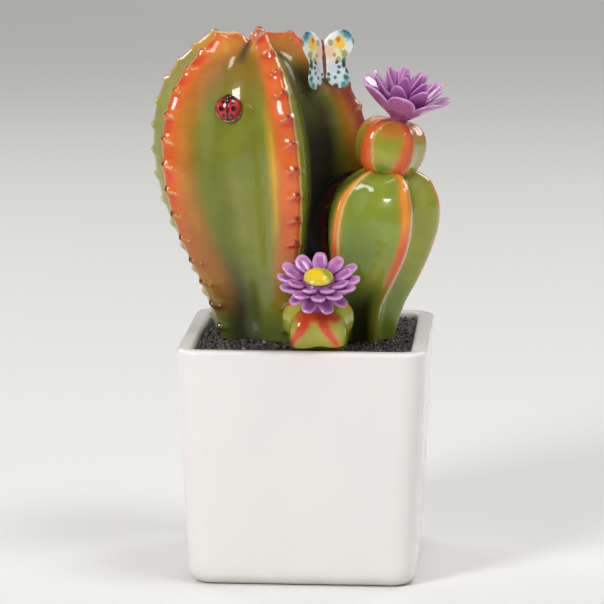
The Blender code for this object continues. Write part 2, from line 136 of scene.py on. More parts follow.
# %% Ball of clay and finished piece
def clay_ball(columns, rings):
    """Sphere mesh, with each vertex's place around it and up it, both from 0 to 1."""
    bm = bmesh.new()
    bmesh.ops.create_uvsphere(bm, u_segments=columns, v_segments=rings, radius=1.0)
    places = np.array([vert.co[:] for vert in bm.verts])
    around = np.arctan2(places[:, 0], -places[:, 1]) / (2 * math.pi)
    around = (np.round(around * columns) / columns) % 1.0
    up = np.round(np.arccos(np.clip(-places[:, 2], -1, 1)) / math.pi * rings) / rings
    return bm, around, up


def place_verts(bm, points):
    """Move the vertices to points given in millimetres."""
    for vert, point in zip(bm.verts, points):
        vert.co = Vector(point) * MM


def to_object(bm, name, masks=None):
    """Mesh object with smooth faces and one painted mask per name."""
    mesh = bpy.data.meshes.new(name)
    bm.to_mesh(mesh)
    bm.free()
    mesh.polygons.foreach_set("use_smooth", [True] * len(mesh.polygons))
    for mask, values in (masks or {}).items():
        layer = mesh.attributes.new(mask, "FLOAT", "POINT")
        layer.data.foreach_set("value", np.clip(values, 0.0, 1.0).astype(np.float32))
    obj = bpy.data.objects.new(name, mesh)
    bpy.context.scene.collection.objects.link(obj)
    return obj


def join(objects, name):
    """One object from several, keeping their painted masks."""
    with bpy.context.temp_override(active_object=objects[0], object=objects[0], selected_objects=objects,
                                   selected_editable_objects=objects):
        bpy.ops.object.join()
    objects[0].name = name
    objects[0].data.name = name
    return objects[0]


def settle(obj, node, material):
    """The piece stands for its node and rides on the ornament."""
    obj.data.materials.clear()
    obj.data.materials.append(material)
    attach(obj, "root")
    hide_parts(node)
    triangles = sum(len(face.vertices) - 2 for face in obj.data.polygons)
    print(obj.name, "stands for", node, "with", triangles, "triangles")


# %% [markdown]
# ## Glaze colours
# Colours were judged on the fired glaze and are written as screen values from 0 to
# 255. Blender mixes light in linear values, so each is turned into linear once, here.

# %% Colour and node helpers
def srgb(red, green, blue):
    out = []
    for value in (red, green, blue):
        value /= 255.0
        out.append(value / 12.92 if value <= 0.04045 else ((value + 0.055) / 1.055) ** 2.4)
    return (*out, 1.0)


def node(tree, kind, inputs=None, **settings):
    """New node with its settings, and then its inputs, by name, as sockets or plain values."""
    made = tree.nodes.new(kind)
    for name, value in settings.items():
        setattr(made, name, value)
    for name, value in (inputs or {}).items():
        link(tree, value, made.inputs[name])
    return made


def link(tree, source, target):
    """Join two sockets, or write a plain value into the target."""
    if isinstance(source, bpy.types.NodeSocket):
        tree.links.new(source, target)
    else:
        target.default_value = source


def mix(tree, share, low, high, blend="MIX"):
    made = node(tree, "ShaderNodeMix", data_type="RGBA", blend_type=blend)
    link(tree, share, made.inputs[0])
    link(tree, low, made.inputs[6])
    link(tree, high, made.inputs[7])
    return made.outputs[2]


def maths(tree, operation, *values):
    made = node(tree, "ShaderNodeMath", operation=operation)
    for value, socket in zip(values, made.inputs):
        link(tree, value, socket)
    return made.outputs[0]


def painted(tree, mask):
    return node(tree, "ShaderNodeAttribute", attribute_name=mask).outputs["Fac"]


def object_noise(tree, scale, detail):
    """Noise laid through the piece's own space."""
    place = node(tree, "ShaderNodeTexCoord").outputs["Object"]
    made = node(tree, "ShaderNodeTexNoise", {"Vector": place, "Scale": scale, "Detail": detail})
    return made.outputs["Fac"]


def spread(tree, fac, low, high):
    """Range from low to high that follows the middle of a noise."""
    made = node(tree, "ShaderNodeMapRange",
                {"Value": fac, "From Min": 0.3, "From Max": 0.7, "To Min": low, "To Max": high})
    return made.outputs["Result"]


def new_group(name, inputs, outputs):
    """Shader node group. Its sockets hold numbers, apart from those called Color."""
    group = bpy.data.node_groups.new(name, "ShaderNodeTree")
    for way, labels in (("INPUT", inputs), ("OUTPUT", outputs)):
        for label in labels:
            kind = "NodeSocketColor" if label == "Color" else "NodeSocketFloat"
            group.interface.new_socket(name=label, in_out=way, socket_type=kind)
    return group, group.nodes.new("NodeGroupInput"), group.nodes.new("NodeGroupOutput")


def new_material(name):
    material = bpy.data.materials.new(name)
    material.use_nodes = True
    return material, material.node_tree


def shade(tree, inputs):
    """Give the material's shader its inputs, by name, as sockets or plain values."""
    for name, value in inputs.items():
        link(tree, value, tree.nodes["Principled BSDF"].inputs[name])


print("orange-red crest in linear values:", [round(v, 3) for v in srgb(225, 84, 36)[:3]])

# %% [markdown]
# ## Two effects that every glaze shares
# Airbrushed colour never ends in a clean line. The group **ragged_edge** pushes a mask in
# and out with noise, but only where the mask is already between 0 and 1.
# Glaze also pools: it is thicker in some places, so its tone, its gloss and its skin all
# change a little. The group **pooled_glaze** gives those three from one noise, so they agree.

# %% Node groups
def make_ragged_edge():
    group, inside, outside = new_group("ragged_edge", ("Mask", "Reach", "Scale"), ("Mask",))
    mask = inside.outputs["Mask"]
    speckle = maths(group, "SUBTRACT", object_noise(group, inside.outputs["Scale"], 4.0), 0.5)
    pushed = maths(group, "MULTIPLY", speckle, inside.outputs["Reach"])
    between = maths(group, "MULTIPLY", mask, maths(group, "SUBTRACT", 1.0, mask))
    total = maths(group, "ADD", mask, maths(group, "MULTIPLY", pushed, between))
    link(group, node(group, "ShaderNodeClamp", {"Value": total}).outputs[0], outside.inputs["Mask"])
    return group


def make_pooled_glaze():
    group, inside, outside = new_group("pooled_glaze", ("Color", "Scale", "Depth"),
                                       ("Color", "Roughness", "Height"))
    pool = object_noise(group, inside.outputs["Scale"], 3.0)
    swing = maths(group, "MULTIPLY", spread(group, pool, -1.0, 1.0), inside.outputs["Depth"])
    light = maths(group, "ADD", 1.0, swing)
    grey = node(group, "ShaderNodeCombineColor",
                {"Red": light, "Green": light, "Blue": maths(group, "POWER", light, 0.9)})
    tone = mix(group, 1.0, inside.outputs["Color"], grey.outputs["Color"], "MULTIPLY")
    link(group, tone, outside.inputs["Color"])
    link(group, spread(group, pool, 0.16, 0.27), outside.inputs["Roughness"])
    skin = maths(group, "MULTIPLY", object_noise(group, 420.0, 2.0), 0.22)
    link(group, maths(group, "ADD", pool, skin), outside.inputs["Height"])
    return group


RAGGED_EDGE = make_ragged_edge()
POOLED_GLAZE = make_pooled_glaze()
print("shared groups:", RAGGED_EDGE.name, POOLED_GLAZE.name)

# %% [markdown]
# ## A glaze made of layers
# The cacti were fired with one ground colour and several airbrushed ones over it. The
# material does the same: it starts from the ground and lays one colour after another through
# its painted mask. A clear coat over a slightly rough base gives the wet, fired shine. Where
# painted shade darkens the clefts, the coat is taken away there and the base made rougher.

# %% Layered glaze
def layered_glaze(name, ground, layers, pool_scale=70.0, pool_depth=0.12, coat=0.85, coat_rough=0.05,
                  ragged=3.0, wave=0.00018):
    """Glaze with a ground, which is a colour or the name of a painted one, and layers over it."""
    material, tree = new_material(name)
    colour = ground
    if isinstance(ground, str):
        colour = node(tree, "ShaderNodeAttribute", attribute_name=ground).outputs["Color"]
    for mask, paint, scale in layers:
        edge = node(tree, "ShaderNodeGroup", {"Mask": painted(tree, mask), "Reach": ragged, "Scale": scale},
                    node_tree=RAGGED_EDGE)
        colour = mix(tree, edge.outputs["Mask"], colour, paint)
    pooled = node(tree, "ShaderNodeGroup", {"Color": colour, "Scale": pool_scale, "Depth": pool_depth},
                  node_tree=POOLED_GLAZE).outputs
    bump = node(tree, "ShaderNodeBump", {"Strength": 1.0, "Distance": wave, "Height": pooled["Height"]})
    rough = pooled["Roughness"]
    # Painted shade in the clefts also loses the coat and turns rougher, so it shows no reflection.
    if any(mask == "deep" for mask, _, _ in layers):
        deep = painted(tree, "deep")
        coat = maths(tree, "MULTIPLY_ADD", deep, -0.97 * coat, coat)
        rough = maths(tree, "MULTIPLY_ADD", deep, 0.6, rough)
    shade(tree, {"Base Color": pooled["Color"], "Roughness": rough, "Specular IOR Level": 0.2,
                 "Normal": bump.outputs["Normal"], "Coat Weight": coat, "Coat Roughness": coat_rough,
                 "Coat IOR": 1.5})
    print("glaze", name, "has", len(layers), "painted layers")
    return material


# %% [markdown]
# ## The pot
# The real pot is poured into a square mould: flat sides that widen towards the rim, round
# upright corners, a soft foot and a thick rounded lip. A bevelled box would do, but its big
# faces would shade unevenly. Here a circle is pressed into a rounded square and extruded ring
# by ring up the outside, over the lip and down the inside, so all faces stay small. A tenth
# of a millimetre of waviness on the sides is what makes fired clay look like clay.

# %% Pot sizes and outline
POT_TOP, POT_FOOT, POT_HEIGHT = 50.0, 45.6, 96.0
POT_CORNER, POT_WALL, POT_FLOOR = 10.0, 6.7, 9.0
FOOT_CURVE, LIP_CURVE = 5.0, 1.8        # radii where the side turns under, and over the lip
LIP_START = POT_HEIGHT - LIP_CURVE
WAVE_LENGTH, WAVE_DEPTH = 32.0, 0.08
CORNER_STEPS, SIDE_STEPS = 14, 22


def pot_half(height):
    return POT_FOOT + (POT_TOP - POT_FOOT) * height / POT_HEIGHT


def rounded_square(half, corner, height):
    """Ring of points round a square with round corners, closer together near the corners."""
    ring = []
    for start in (0.0, 90.0, 180.0, 270.0):
        middle = math.radians(start + 45.0)
        cx = math.copysign(half - corner, math.cos(middle))
        cy = math.copysign(half - corner, math.sin(middle))
        for step in range(CORNER_STEPS):
            angle = math.radians(start + 90.0 * step / CORNER_STEPS)
            ring.append((cx + corner * math.cos(angle), cy + corner * math.sin(angle), height))
        end = math.radians(start + 90.0)
        from_x, from_y = cx + corner * math.cos(end), cy + corner * math.sin(end)
        for step in range(SIDE_STEPS):
            reach = 2 * (half - corner) * (0.5 - 0.5 * math.cos(math.pi * step / SIDE_STEPS))
            ring.append((from_x - math.sin(end) * reach, from_y + math.cos(end) * reach, height))
    return ring


def pot_profile():
    """Half width and height up the outside, over the lip and down the inside."""
    rows = []
    for angle in np.radians(np.linspace(0.0, 90.0, 9)):
        turn_in = FOOT_CURVE * (1 - math.sin(angle))
        rows.append((pot_half(FOOT_CURVE) - turn_in, FOOT_CURVE - FOOT_CURVE * math.cos(angle)))
    for height in np.linspace(FOOT_CURVE, LIP_START, 29)[1:]:
        rows.append((pot_half(height), height))
    for angle in np.radians(np.linspace(0.0, 90.0, 8))[1:]:
        rows.append((POT_TOP - LIP_CURVE * (1 - math.cos(angle)), LIP_START + LIP_CURVE * math.sin(angle)))
    for angle in np.radians(np.linspace(0.0, 90.0, 8)):
        over = LIP_CURVE * (1 - math.sin(angle))
        rows.append((POT_TOP - POT_WALL + over, LIP_START + LIP_CURVE * math.cos(angle)))
    for height in (91.0, 80.0, 50.0, 20.0, POT_FLOOR):
        rows.append((pot_half(height) - POT_WALL - 0.1, height))
    return rows


print("pot profile rows:", len(pot_profile()))

# %% Pot mesh
def ring_loft(rings):
    """Closed mesh through rings of points, each extruded from the one before."""
    bm = bmesh.new()
    verts = bmesh.ops.create_circle(bm, segments=len(rings[0]), radius=1.0, cap_ends=False)["verts"]
    for vert, point in zip(verts, rings[0]):
        vert.co = Vector(point) * MM
    edges = list(bm.edges)
    bm.faces.new(verts)
    for ring in rings[1:]:
        grown = bmesh.ops.extrude_edge_only(bm, edges=edges)["geom"]
        verts = [item for item in grown if isinstance(item, bmesh.types.BMVert)]
        fresh = set(verts)
        edges = [item for item in grown if isinstance(item, bmesh.types.BMEdge)
                 and item.verts[0] in fresh and item.verts[1] in fresh]
        for vert, point in zip(verts, ring):
            vert.co = Vector(point) * MM
    bm.faces.new(verts)
    bmesh.ops.recalc_face_normals(bm, faces=bm.faces)
    return bm


def make_pot():
    rings = []
    for half, height in pot_profile():
        corner = max(POT_CORNER - (pot_half(height) - half), 3.0)
        rings.append(rounded_square(half, corner, height))
    bm = ring_loft(rings)
    for vert in bm.verts:
        height = vert.co.z / MM
        if FOOT_CURVE < height < 95.0:
            fade_in = min(1.0, (height - FOOT_CURVE) / 10.0)
            swell = noise.noise(vert.co / MM / WAVE_LENGTH) * WAVE_DEPTH * fade_in
            out = Vector((vert.co.x, vert.co.y, 0.0)).normalized()
            vert.co -= out * (WAVE_DEPTH + swell) * MM * 0.8
    heights = np.array([vert.co.z / MM for vert in bm.verts])
    return to_object(bm, "square_pot", {"foot_shade": before(heights, 7.0, 7.0) * 0.8})


POT_LAYERS = (("foot_shade", srgb(206, 202, 194), 90.0),)
white_glaze = layered_glaze("white_pot_glaze", srgb(239, 235, 233), POT_LAYERS, pool_scale=34.0,
                            pool_depth=0.012, coat=0.4, coat_rough=0.22, wave=0.00002)
settle(make_pot(), "pot", white_glaze)

# %% [markdown]
# ## The grit
# The filling is coarse dark grit, poured round the feet and levelled just under the lip. A
# grid gives its uneven bed, with a socket pressed down for each foot. Over it lie a few
# thousand small faceted stones, each a 20-faced ball squashed and turned at random, and each
# with a tone of its own, because real grit is black, brown-black and here and there grey.

# %% Grit bed
GRIT_TOP, GRIT_SOCKET = 94.0, 81.8
LARGE_AXIS = ((-16.0, 4.0, 94), (-18.6, 4.0, 130), (-20.7, 4.0, 160), (-22.9, 4.0, 190), (-23.6, 4.0, 220))
RIGHT_AXIS = ((24.3, -6.0, 94), (23.6, -7.5, 110), (25.0, -9.4, 135), (27.0, -10.4, 155), (30.8, -11.0, 166))
FRONT_BASE = (6.3, -31.0, 94.5)
LARGE_FOOT, RIGHT_FOOT, FRONT_FOOT = 15.0, 7.0, 7.0      # radius of each foot
FEET = ((*LARGE_AXIS[0][:2], LARGE_FOOT), (*RIGHT_AXIS[0][:2], RIGHT_FOOT), (*FRONT_BASE[:2], FRONT_FOOT))
BED_CORNER = 3.2


def make_grit_bed():
    half = pot_half(GRIT_TOP) - POT_WALL - 0.4
    bm = bmesh.new()
    bmesh.ops.create_grid(bm, x_segments=110, y_segments=110, size=half)
    for vert in bm.verts:
        x, y = vert.co.x, vert.co.y
        cx, cy = abs(x) - (half - BED_CORNER), abs(y) - (half - BED_CORNER)
        if cx > 0 and cy > 0:
            pull = max(math.hypot(cx, cy) / BED_CORNER, 1.0)
            x = math.copysign(half - BED_CORNER + cx / pull, x)
            y = math.copysign(half - BED_CORNER + cy / pull, y)
        height = GRIT_TOP - 0.45 + 0.4 * noise.noise(Vector((x, y, 0.0)) / 2.2)
        if any(math.hypot(x - fx, y - fy) < radius + 0.4 for fx, fy, radius in FEET):
            height = GRIT_SOCKET
        vert.co = Vector((x, y, height)) * MM
    rim = [edge for edge in bm.edges if edge.is_boundary]
    grown = bmesh.ops.extrude_edge_only(bm, edges=rim)["geom"]
    low_verts = [item for item in grown if isinstance(item, bmesh.types.BMVert)]
    low_edges = [item for item in grown if isinstance(item, bmesh.types.BMEdge) and item.is_boundary]
    taper = (pot_half(POT_FLOOR) - POT_WALL - 0.4) / half
    for vert in low_verts:
        vert.co = Vector((vert.co.x * taper, vert.co.y * taper, (POT_FLOOR + 0.3) * MM))
    bmesh.ops.edgeloop_fill(bm, edges=low_edges)
    bmesh.ops.recalc_face_normals(bm, faces=bm.faces)
    return to_object(bm, "grit_bed", {"tone": np.full(len(bm.verts), 0.2)})


# %% Grit stones
def make_stones(count):
    half = pot_half(GRIT_TOP) - POT_WALL - 1.2
    bm = bmesh.new()
    tones = []
    while len(tones) < 12 * count:
        x, y = random.uniform(-half, half), random.uniform(-half, half)
        if any(math.hypot(x - fx, y - fy) < radius + 1.5 for fx, fy, radius in FEET):
            continue
        size = random.choice((0.45, 0.55, 0.65, 0.8, 1.0))
        turn = Matrix.Rotation(random.uniform(0, 6.28), 4, Vector((random.random(), random.random(), 1.0)))
        squash = [random.uniform(low, high) for low, high in ((0.8, 1.3), (0.7, 1.1), (0.5, 0.9))]
        place = Matrix.Translation(Vector((x, y, GRIT_TOP - 0.4 + random.uniform(-0.1, 0.55))))
        matrix = Matrix.Diagonal((MM, MM, MM, 1.0)) @ place @ turn @ Matrix.Diagonal((*squash, 1.0))
        bmesh.ops.create_icosphere(bm, subdivisions=1, radius=size, matrix=matrix)
        tone = random.random()
        tones += [0.1 + 0.5 * tone if tone < 0.97 else 0.9] * 12
    return to_object(bm, "grit_stones", {"tone": np.array(tones)})


def grit_material():
    material, tree = new_material("dark_grit")
    ramp = node(tree, "ShaderNodeValToRGB", {"Fac": painted(tree, "tone")})
    stops = ramp.color_ramp
    stops.elements[0].color = srgb(34, 31, 32)
    stops.elements[1].color = srgb(190, 182, 176)
    for place, colour in ((0.35, srgb(62, 57, 56)), (0.6, srgb(104, 96, 92)), (0.66, srgb(84, 70, 60))):
        stops.elements.new(place).color = colour
    grain = object_noise(tree, 1800.0, 3.0)
    soot = mix(tree, maths(tree, "MULTIPLY", grain, 0.25), ramp.outputs["Color"], srgb(20, 18, 20))
    bump = node(tree, "ShaderNodeBump", {"Distance": 0.0002, "Height": grain})
    shade(tree, {"Base Color": soot, "Normal": bump.outputs["Normal"], "Roughness": 0.55})
    return material


grit = join([make_grit_bed(), make_stones(4200)], "grit_filling")
settle(grit, "grit", grit_material())

# %% [markdown]
# ## A ribbed body
# All the cacti are one idea: rows of radius and height for the rib crests and for the
# valleys between them. Each column of the sphere gets a share from 1 on a crest to 0 in a
# valley, and its point lies between the two rows by that share. The columns are gathered
# towards the crests, where the small forms and the painted lines are.

# %% Ribs
VALLEY_FLATNESS = 0.85      # how far a valley is drawn out from round towards flat
FOOT_RINGS = 3
FOOT_LEVELS = (82.0, 82.0, 93.9)


def rib_grid(columns, rings, ribs, gather, rows, sharpness, foot=FOOT_RINGS):
    """Sphere for a ribbed body, with what is known of each vertex.

    Across the ribs these are its azimuth, the nearest rib, the degrees from that rib's crest and from
    the valley, and a strength from 0 on a crest to 1 in a valley. Up the body they are its place t
    from 0 to 1, the crest's and the valley's radius there, its share between the two, and its height."""
    bm, around, up = clay_ball(columns, rings)
    place = around * len(ribs)
    first = np.floor(place + 1e-6).astype(int) % len(ribs)
    u = place - np.floor(place + 1e-6)
    across = u - gather * np.sin(2 * math.pi * u) / (2 * math.pi)
    starts = np.asarray(ribs, float)
    span = ((np.roll(starts, -1) - starts) % 360.0)[first]
    from_crest = np.where(across < 0.5, across, across - 1.0) * span
    strength = 2 * np.minimum(across, 1 - across)
    number = np.round(up * rings).astype(int)
    t = np.clip((number - foot) / (rings - foot), 0.0, 1.0)
    crest_r, crest_z, valley_r, valley_z = spline(rows, t).T
    share = crest_share(strength, sharpness)
    return bm, SimpleNamespace(
        azimuth=starts[first] + span * across, rib=np.where(across < 0.5, first, (first + 1) % len(ribs)),
        from_crest=from_crest, side=np.sign(from_crest), strength=strength, gap_number=first,
        off_valley=span * (across - 0.5), half_gap=span / 2, number=number, foot=number < foot,
        pole=(number == 0) | (number == rings), t=t, crest=crest_r, valley=valley_r, share=share,
        height=valley_z + (crest_z - valley_z) * share)


def rib_section(f, valley):
    """Reach between a valley drawn out flat and a crest."""
    def drawn(angle):
        return valley / np.cos(np.radians(angle * VALLEY_FLATNESS))
    return drawn(f.off_valley) + (f.crest - drawn(f.half_gap)) * f.share


def stand(f, reach, radius):
    """Turn the lowest rings into a round foot in its socket, and close both poles."""
    f.height = np.where(f.foot, np.choose(np.minimum(f.number, 2), FOOT_LEVELS), f.height)
    return np.where(f.pole, 0.0, np.where(f.foot, radius, reach))


def crest_share(strength, sharpness):
    return ((1 + np.cos(math.pi * strength)) / 2) ** sharpness


def crest_gap(reach, crest_reach, from_crest):
    """Distance in millimetres from the crest at the same level."""
    angle = np.radians(from_crest)
    return np.hypot(reach * np.sin(angle), crest_reach - reach * np.cos(angle))


def held_off(centre, direction, reach, place, limit):
    """Shorten the reach where a neighbouring body stands in the way."""
    away = place - centre
    along = (away * direction).sum(axis=1)
    chord = along ** 2 - (away ** 2).sum(axis=1) + limit ** 2
    blocked = (limit > 0) & (along > 0) & (chord > 0)
    return np.where(blocked, np.minimum(reach, along - np.sqrt(np.where(blocked, chord, 0.0))), reach)


print("crest share half way down a rib:", round(float(crest_share(0.5, 1.6)), 3))

# %% [markdown]
# ## The large cactus: form
# Five deep ribs on a slightly leaning axis, closing over the top. Along every crest sits a
# lump about each 10 mm, the potter's version of the spine cushions, with a short raised ledge
# across it. The rows, the lean and the lumps are the same as in the solids. Where the
# neighbouring cacti stand, the ribs are held back.

# %% Large cactus form
LARGE_RIBS = (24.0, 96.0, 172.0, 250.0, 312.0)
LARGE_ROWS = (
    (24.6, 94.3, 18.5, 94.3), (26.2, 103, 18, 103), (29.6, 113, 19, 113), (35.2, 125, 21.5, 125),
    (41.0, 138.5, 24.5, 138), (45.0, 152, 27, 151), (46.4, 166, 28.5, 164.5), (45.0, 180.5, 28, 178),
    (40.4, 193.4, 25.5, 190), (33.2, 203.6, 21.5, 199.2), (25.0, 211.0, 16.5, 206), (17.2, 216.4, 11, 210),
    (10, 217, 6.5, 212), (4, 216, 3, 213.4), (0.8, 214.4, 0.8, 214.4))
LUMP_PITCH, LUMP_HEIGHT, LUMP_LENGTH = 10.2, 1.2, 2.4
RIGHT_ROWS = (
    (11.2, 94.3, 9.2, 94.3), (12.6, 100, 9.4, 100), (16.0, 109, 11.6, 109), (21.4, 119.5, 15.6, 119.5),
    (26.3, 131, 19.6, 131), (28.4, 141, 22, 141), (27.2, 151, 21.8, 150), (22.4, 158.5, 18.2, 157.2),
    (14.5, 163.2, 11.8, 162), (7, 165, 6, 164.2), (1.2, 165, 1.2, 165))
FRONT_ROWS = (
    (11.6, -0.2, 9.2, -0.2), (13.2, 4, 10, 4), (15.0, 9, 11.4, 9), (15.0, 14.0, 11.4, 13.6),
    (12.6, 18.2, 10.0, 17.4), (7.4, 20.6, 6.6, 20.0), (1.5, 21.2, 1.5, 21.2))
FRONT_LEAN = 22.0


def side_rows(rows):
    """Finer rows of a body's side, up to the last row but one."""
    return spline(rows, np.linspace(0.0, 1.0 - 1.0 / (len(rows) - 1), 60))


def right_limit(height):
    """Room that the right cactus needs at each height."""
    rows = side_rows(RIGHT_ROWS)
    return np.where(height < rows[-1, 1], np.interp(height, rows[:, 1], rows[:, 0]) * 0.84 + 0.7, 0.0)


def front_limit(height):
    rows = side_rows(FRONT_ROWS)
    levels = FRONT_BASE[2] + rows[:, 1]
    return np.where(height < levels[-1], np.interp(height, levels, rows[:, 0]) + 0.8, 0.0)


def front_place(height):
    rise = np.maximum(height - FRONT_BASE[2], 0.0)
    lean = math.tan(math.radians(FRONT_LEAN * 0.85))
    return np.stack([np.full(len(rise), FRONT_BASE[0]), FRONT_BASE[1] - rise * lean], axis=-1)


def crest_walk():
    """Distance walked along a crest, for a fine row of places up the body."""
    places = np.linspace(0, 1, 800)
    rows = spline(LARGE_ROWS, places)
    steps = np.hypot(np.diff(rows[:, 0]), np.diff(rows[:, 1]))
    return places, np.concatenate([[0.0], np.cumsum(steps)])


def large_form(columns=200, rings=440):
    bm, f = rib_grid(columns, rings, LARGE_RIBS, 0.72, LARGE_ROWS, 1.6)
    ahead = spline(LARGE_ROWS, f.t + 0.004) - spline(LARGE_ROWS, f.t - 0.004)
    length = np.hypot(ahead[:, 0], ahead[:, 1])
    out_r, out_z = ahead[:, 1] / length, -ahead[:, 0] / length
    plain = rib_section(f, f.valley)
    f.gap = crest_gap(plain, f.crest, f.from_crest)
    f.walked = np.interp(f.t, *crest_walk())
    f.offset = ((f.walked / LUMP_PITCH) % 1.0 - 0.5) * LUMP_PITCH
    edge = np.clip(np.minimum(f.t / 0.043, (0.955 - f.t) / 0.11), 0.0, 1.0)
    lump = LUMP_HEIGHT * np.exp(-2.0 * (f.offset / LUMP_LENGTH) ** 2) * hump(f.gap, 0.0, 3.4)
    ledge = 0.35 * hump(f.offset, 0.8 - 0.5 * f.gap, 0.7) * hump(f.gap, 2.2, 1.9)
    swell = (lump + ledge) * edge
    f.height = f.height + out_z * swell
    free = plain + out_r * swell
    centre, direction = axis_at(LARGE_AXIS, f.height), bearing(f.azimuth)
    reach = held_off(centre, direction, free, axis_at(RIGHT_AXIS, f.height), right_limit(f.height))
    f.dent = after(free - reach, -0.2, 1.2)
    reach = held_off(centre, direction, reach, front_place(f.height), front_limit(f.height))
    reach = stand(f, reach, LARGE_FOOT)
    flat = axis_at(LARGE_AXIS, np.maximum(f.height, GRIT_TOP)) + reach[:, None] * direction
    f.points = np.column_stack([flat, f.height])
    place_verts(bm, f.points)
    return bm, f


large_mesh, large_facts = large_form()
print("large cactus vertices:", len(large_mesh.verts), "top at", round(large_facts.height.max(), 1), "mm")

# %% [markdown]
# ## The large cactus: paint
# The painter worked from the front. On each rib one side of the crest carries a broad
# orange-red band, then an amber streak, and then fades through orange-brown into the green
# face. The other side keeps only a thin pale line, where the glaze ran off the edge. Each
# layer is a mask from 0 to 1, worked out from the distance to the crest and from the height.

# %% Large cactus masks
ORANGE_SIDE = np.array([-1, -1, 0, -1, 1])      # which side of each rib carries the broad band


def large_masks(f):
    gap, height, t, rib = f.gap, f.height, f.t, f.rib
    angle = (f.azimuth + 180.0) % 360.0 - 180.0
    blotch, drift = wander(f.points, 4.5, 2), wander(f.points, 12.0, 5)
    broad = f.side * ORANGE_SIDE[rib] >= 0
    main = rib == 0
    narrowing = np.clip(f.crest / 31.0, 0.08, 1.0)
    wide = np.where(broad, np.where(main, 7.4, 5.6) + 0.9 * drift, 1.7) * narrowing
    low = after(height, np.where(main, 122.0, 119.0), np.where(main, 20.0, 52.0))
    band = within(gap, wide, np.where(broad, np.where(main, 3.2, 5.0), 0.8)) * low
    amber = hump(gap, wide + 1.9, 2.0) * broad * after(height, 132, 14) * before(height, 196, 20)
    amber = amber * np.where(main, 0.95, 0.25)
    fade = before(gap, wide + np.where(main, 4.5, 10.0), 7.5) * broad * after(height, 100, 26)
    below_tip = before(t, 0.95, 0.05)
    rim = hump(gap, 2.3 * narrowing, 0.5) * ~broad * after(height, 104.0, 10.0) * below_tip
    # Painted highlight: a short pale streak slanting across each lump's ledge, added to the pale rim line.
    ledge_glint = hump(f.offset, 0.8 - 0.5 * gap, 0.55) * hump(gap, 2.6, 1.4)
    ledge = ledge_glint * broad * low * np.where(main, 0.45, 0.85) * before(height, 200.0, 8.0)
    between = (f.azimuth > 24.0) & (f.azimuth < 96.0)
    crown = after(height, 186.0, 20.0) * np.where(between, 0.4, 0.85)
    gold = after(height, 206.0, 8.0) * before(f.strength, 0.75, 0.4) * np.where(between, 0.15, 0.9)
    apart = after(np.abs(f.offset - 0.5), 1.5, 1.6) * hump(gap, 1.7, 2.2)
    blob = hump(f.offset, -1.4, 2.0) * hump(gap, 1.6, 2.5) * 1.4
    red = band * np.where(main, blob, apart) * (0.8 + 0.7 * blotch) * below_tip
    flame = band * (np.where(main, 0.32, 0.4) + 0.5 * soft_step(0.2 - 2.2 * blotch))
    dot = hump(f.offset, 0.9, 0.9) * hump(gap, 0.0, 1.0) * 1.3 * after(t, 0.0, 0.06) * before(t, 0.85, 0.05)
    # Painted shade: dark streaks low on the front face, in and beside the cleft between the two front ribs,
    # widening towards the foot.
    inward = before(height, 136.0, 26.0)
    crease_shade = hump(angle, -29.0, 5.0 + 8.0 * inward) * inward + hump(angle, -10.0, 7.0) * inward ** 2 * 0.5
    # Painted shade: in the clefts of the crown, low in the clefts away from the front, all down the cleft
    # that faces the right cactus, and in the dent made for it.
    crevice = after(f.strength, 0.55, 0.4) * after(height, 204.0, 6.0) * 0.8
    dark_valley = after(f.strength, 0.7, 0.3) * before(height, 150, 50) * 0.6
    dark_valley = dark_valley * (np.abs(angle + 12.0) > 36.0)
    near = np.where(main, 0.54, 0.3)
    shaded = between * after(f.strength, near, 0.3) * before(height, 212, 12)
    shaded = shaded * (1.0 - 0.3 * after(height, 172.0, 25.0))
    # Painted shade on the crest beside that cleft: its orange band turns dark red there.
    shaded_crest = between * (rib == 1) * before(gap, 10.0, 6.0) * before(height, 208.0, 8.0) * 0.85
    # Painted reflection: the first part is a pale patch in the middle of the front face; the second part
    # paints the face behind the left crest pale beige-green.
    pale = hump(angle, -14.0, 6.0) * hump(height, 149.0, 13.0) * 0.4
    pale = pale + 0.6 * (np.abs(angle + 79.0) < 31.0) * ~broad
    rust = hump(height, 105.5, 6.0) * before(gap, 9.0, 5.0) * (rib == 4) * 0.85
    rust = rust * soft_step(0.35 + 1.6 * blotch)
    root = before(height, 113.0, 20.0) * 0.85
    deep = np.maximum.reduce([dark_valley, shaded, crevice, f.dent])
    return {"band": band, "amber": amber, "fade": fade, "rim": np.maximum(rim, ledge), "crown": crown,
            "red": red, "dot": dot, "crease_shade": crease_shade, "deep": deep, "gold": gold, "shaded_crest": shaded_crest,
            "pale": pale, "rust": rust, "root": root, "flame": flame}


LARGE_LAYERS = (
    ("crown", srgb(140, 108, 36), 60.0),
    ("pale", srgb(168, 164, 88), 70.0),
    ("root", srgb(92, 106, 44), 90.0),
    ("crease_shade", srgb(54, 60, 34), 70.0),
    ("fade", srgb(180, 112, 40), 70.0),
    ("gold", srgb(214, 146, 44), 90.0),
    ("amber", srgb(222, 166, 38), 90.0),
    ("band", srgb(222, 106, 38), 120.0),
    ("flame", srgb(224, 146, 50), 150.0),
    ("red", srgb(212, 66, 34), 160.0),
    ("rust", srgb(120, 60, 32), 110.0),
    ("deep", srgb(40, 36, 28), 60.0),
    ("shaded_crest", srgb(132, 48, 30), 90.0),
    ("rim", srgb(226, 196, 130), 300.0),
    ("dot", srgb(84, 28, 20), 500.0))
large_glaze = layered_glaze("large_cactus_glaze", srgb(126, 134, 38), LARGE_LAYERS)
large_body = to_object(large_mesh, "large_cactus_body", large_masks(large_facts))
print("large cactus painted with", len(LARGE_LAYERS), "layers")

# %% [markdown]
# ## Beads on the lumps
# Beside each dark spot the photographed lumps carry one or two tiny beads that catch the
# light. They are far smaller than the body's own faces, so each is a small sphere of its
# own, sunk by half into the surface next to its lump.

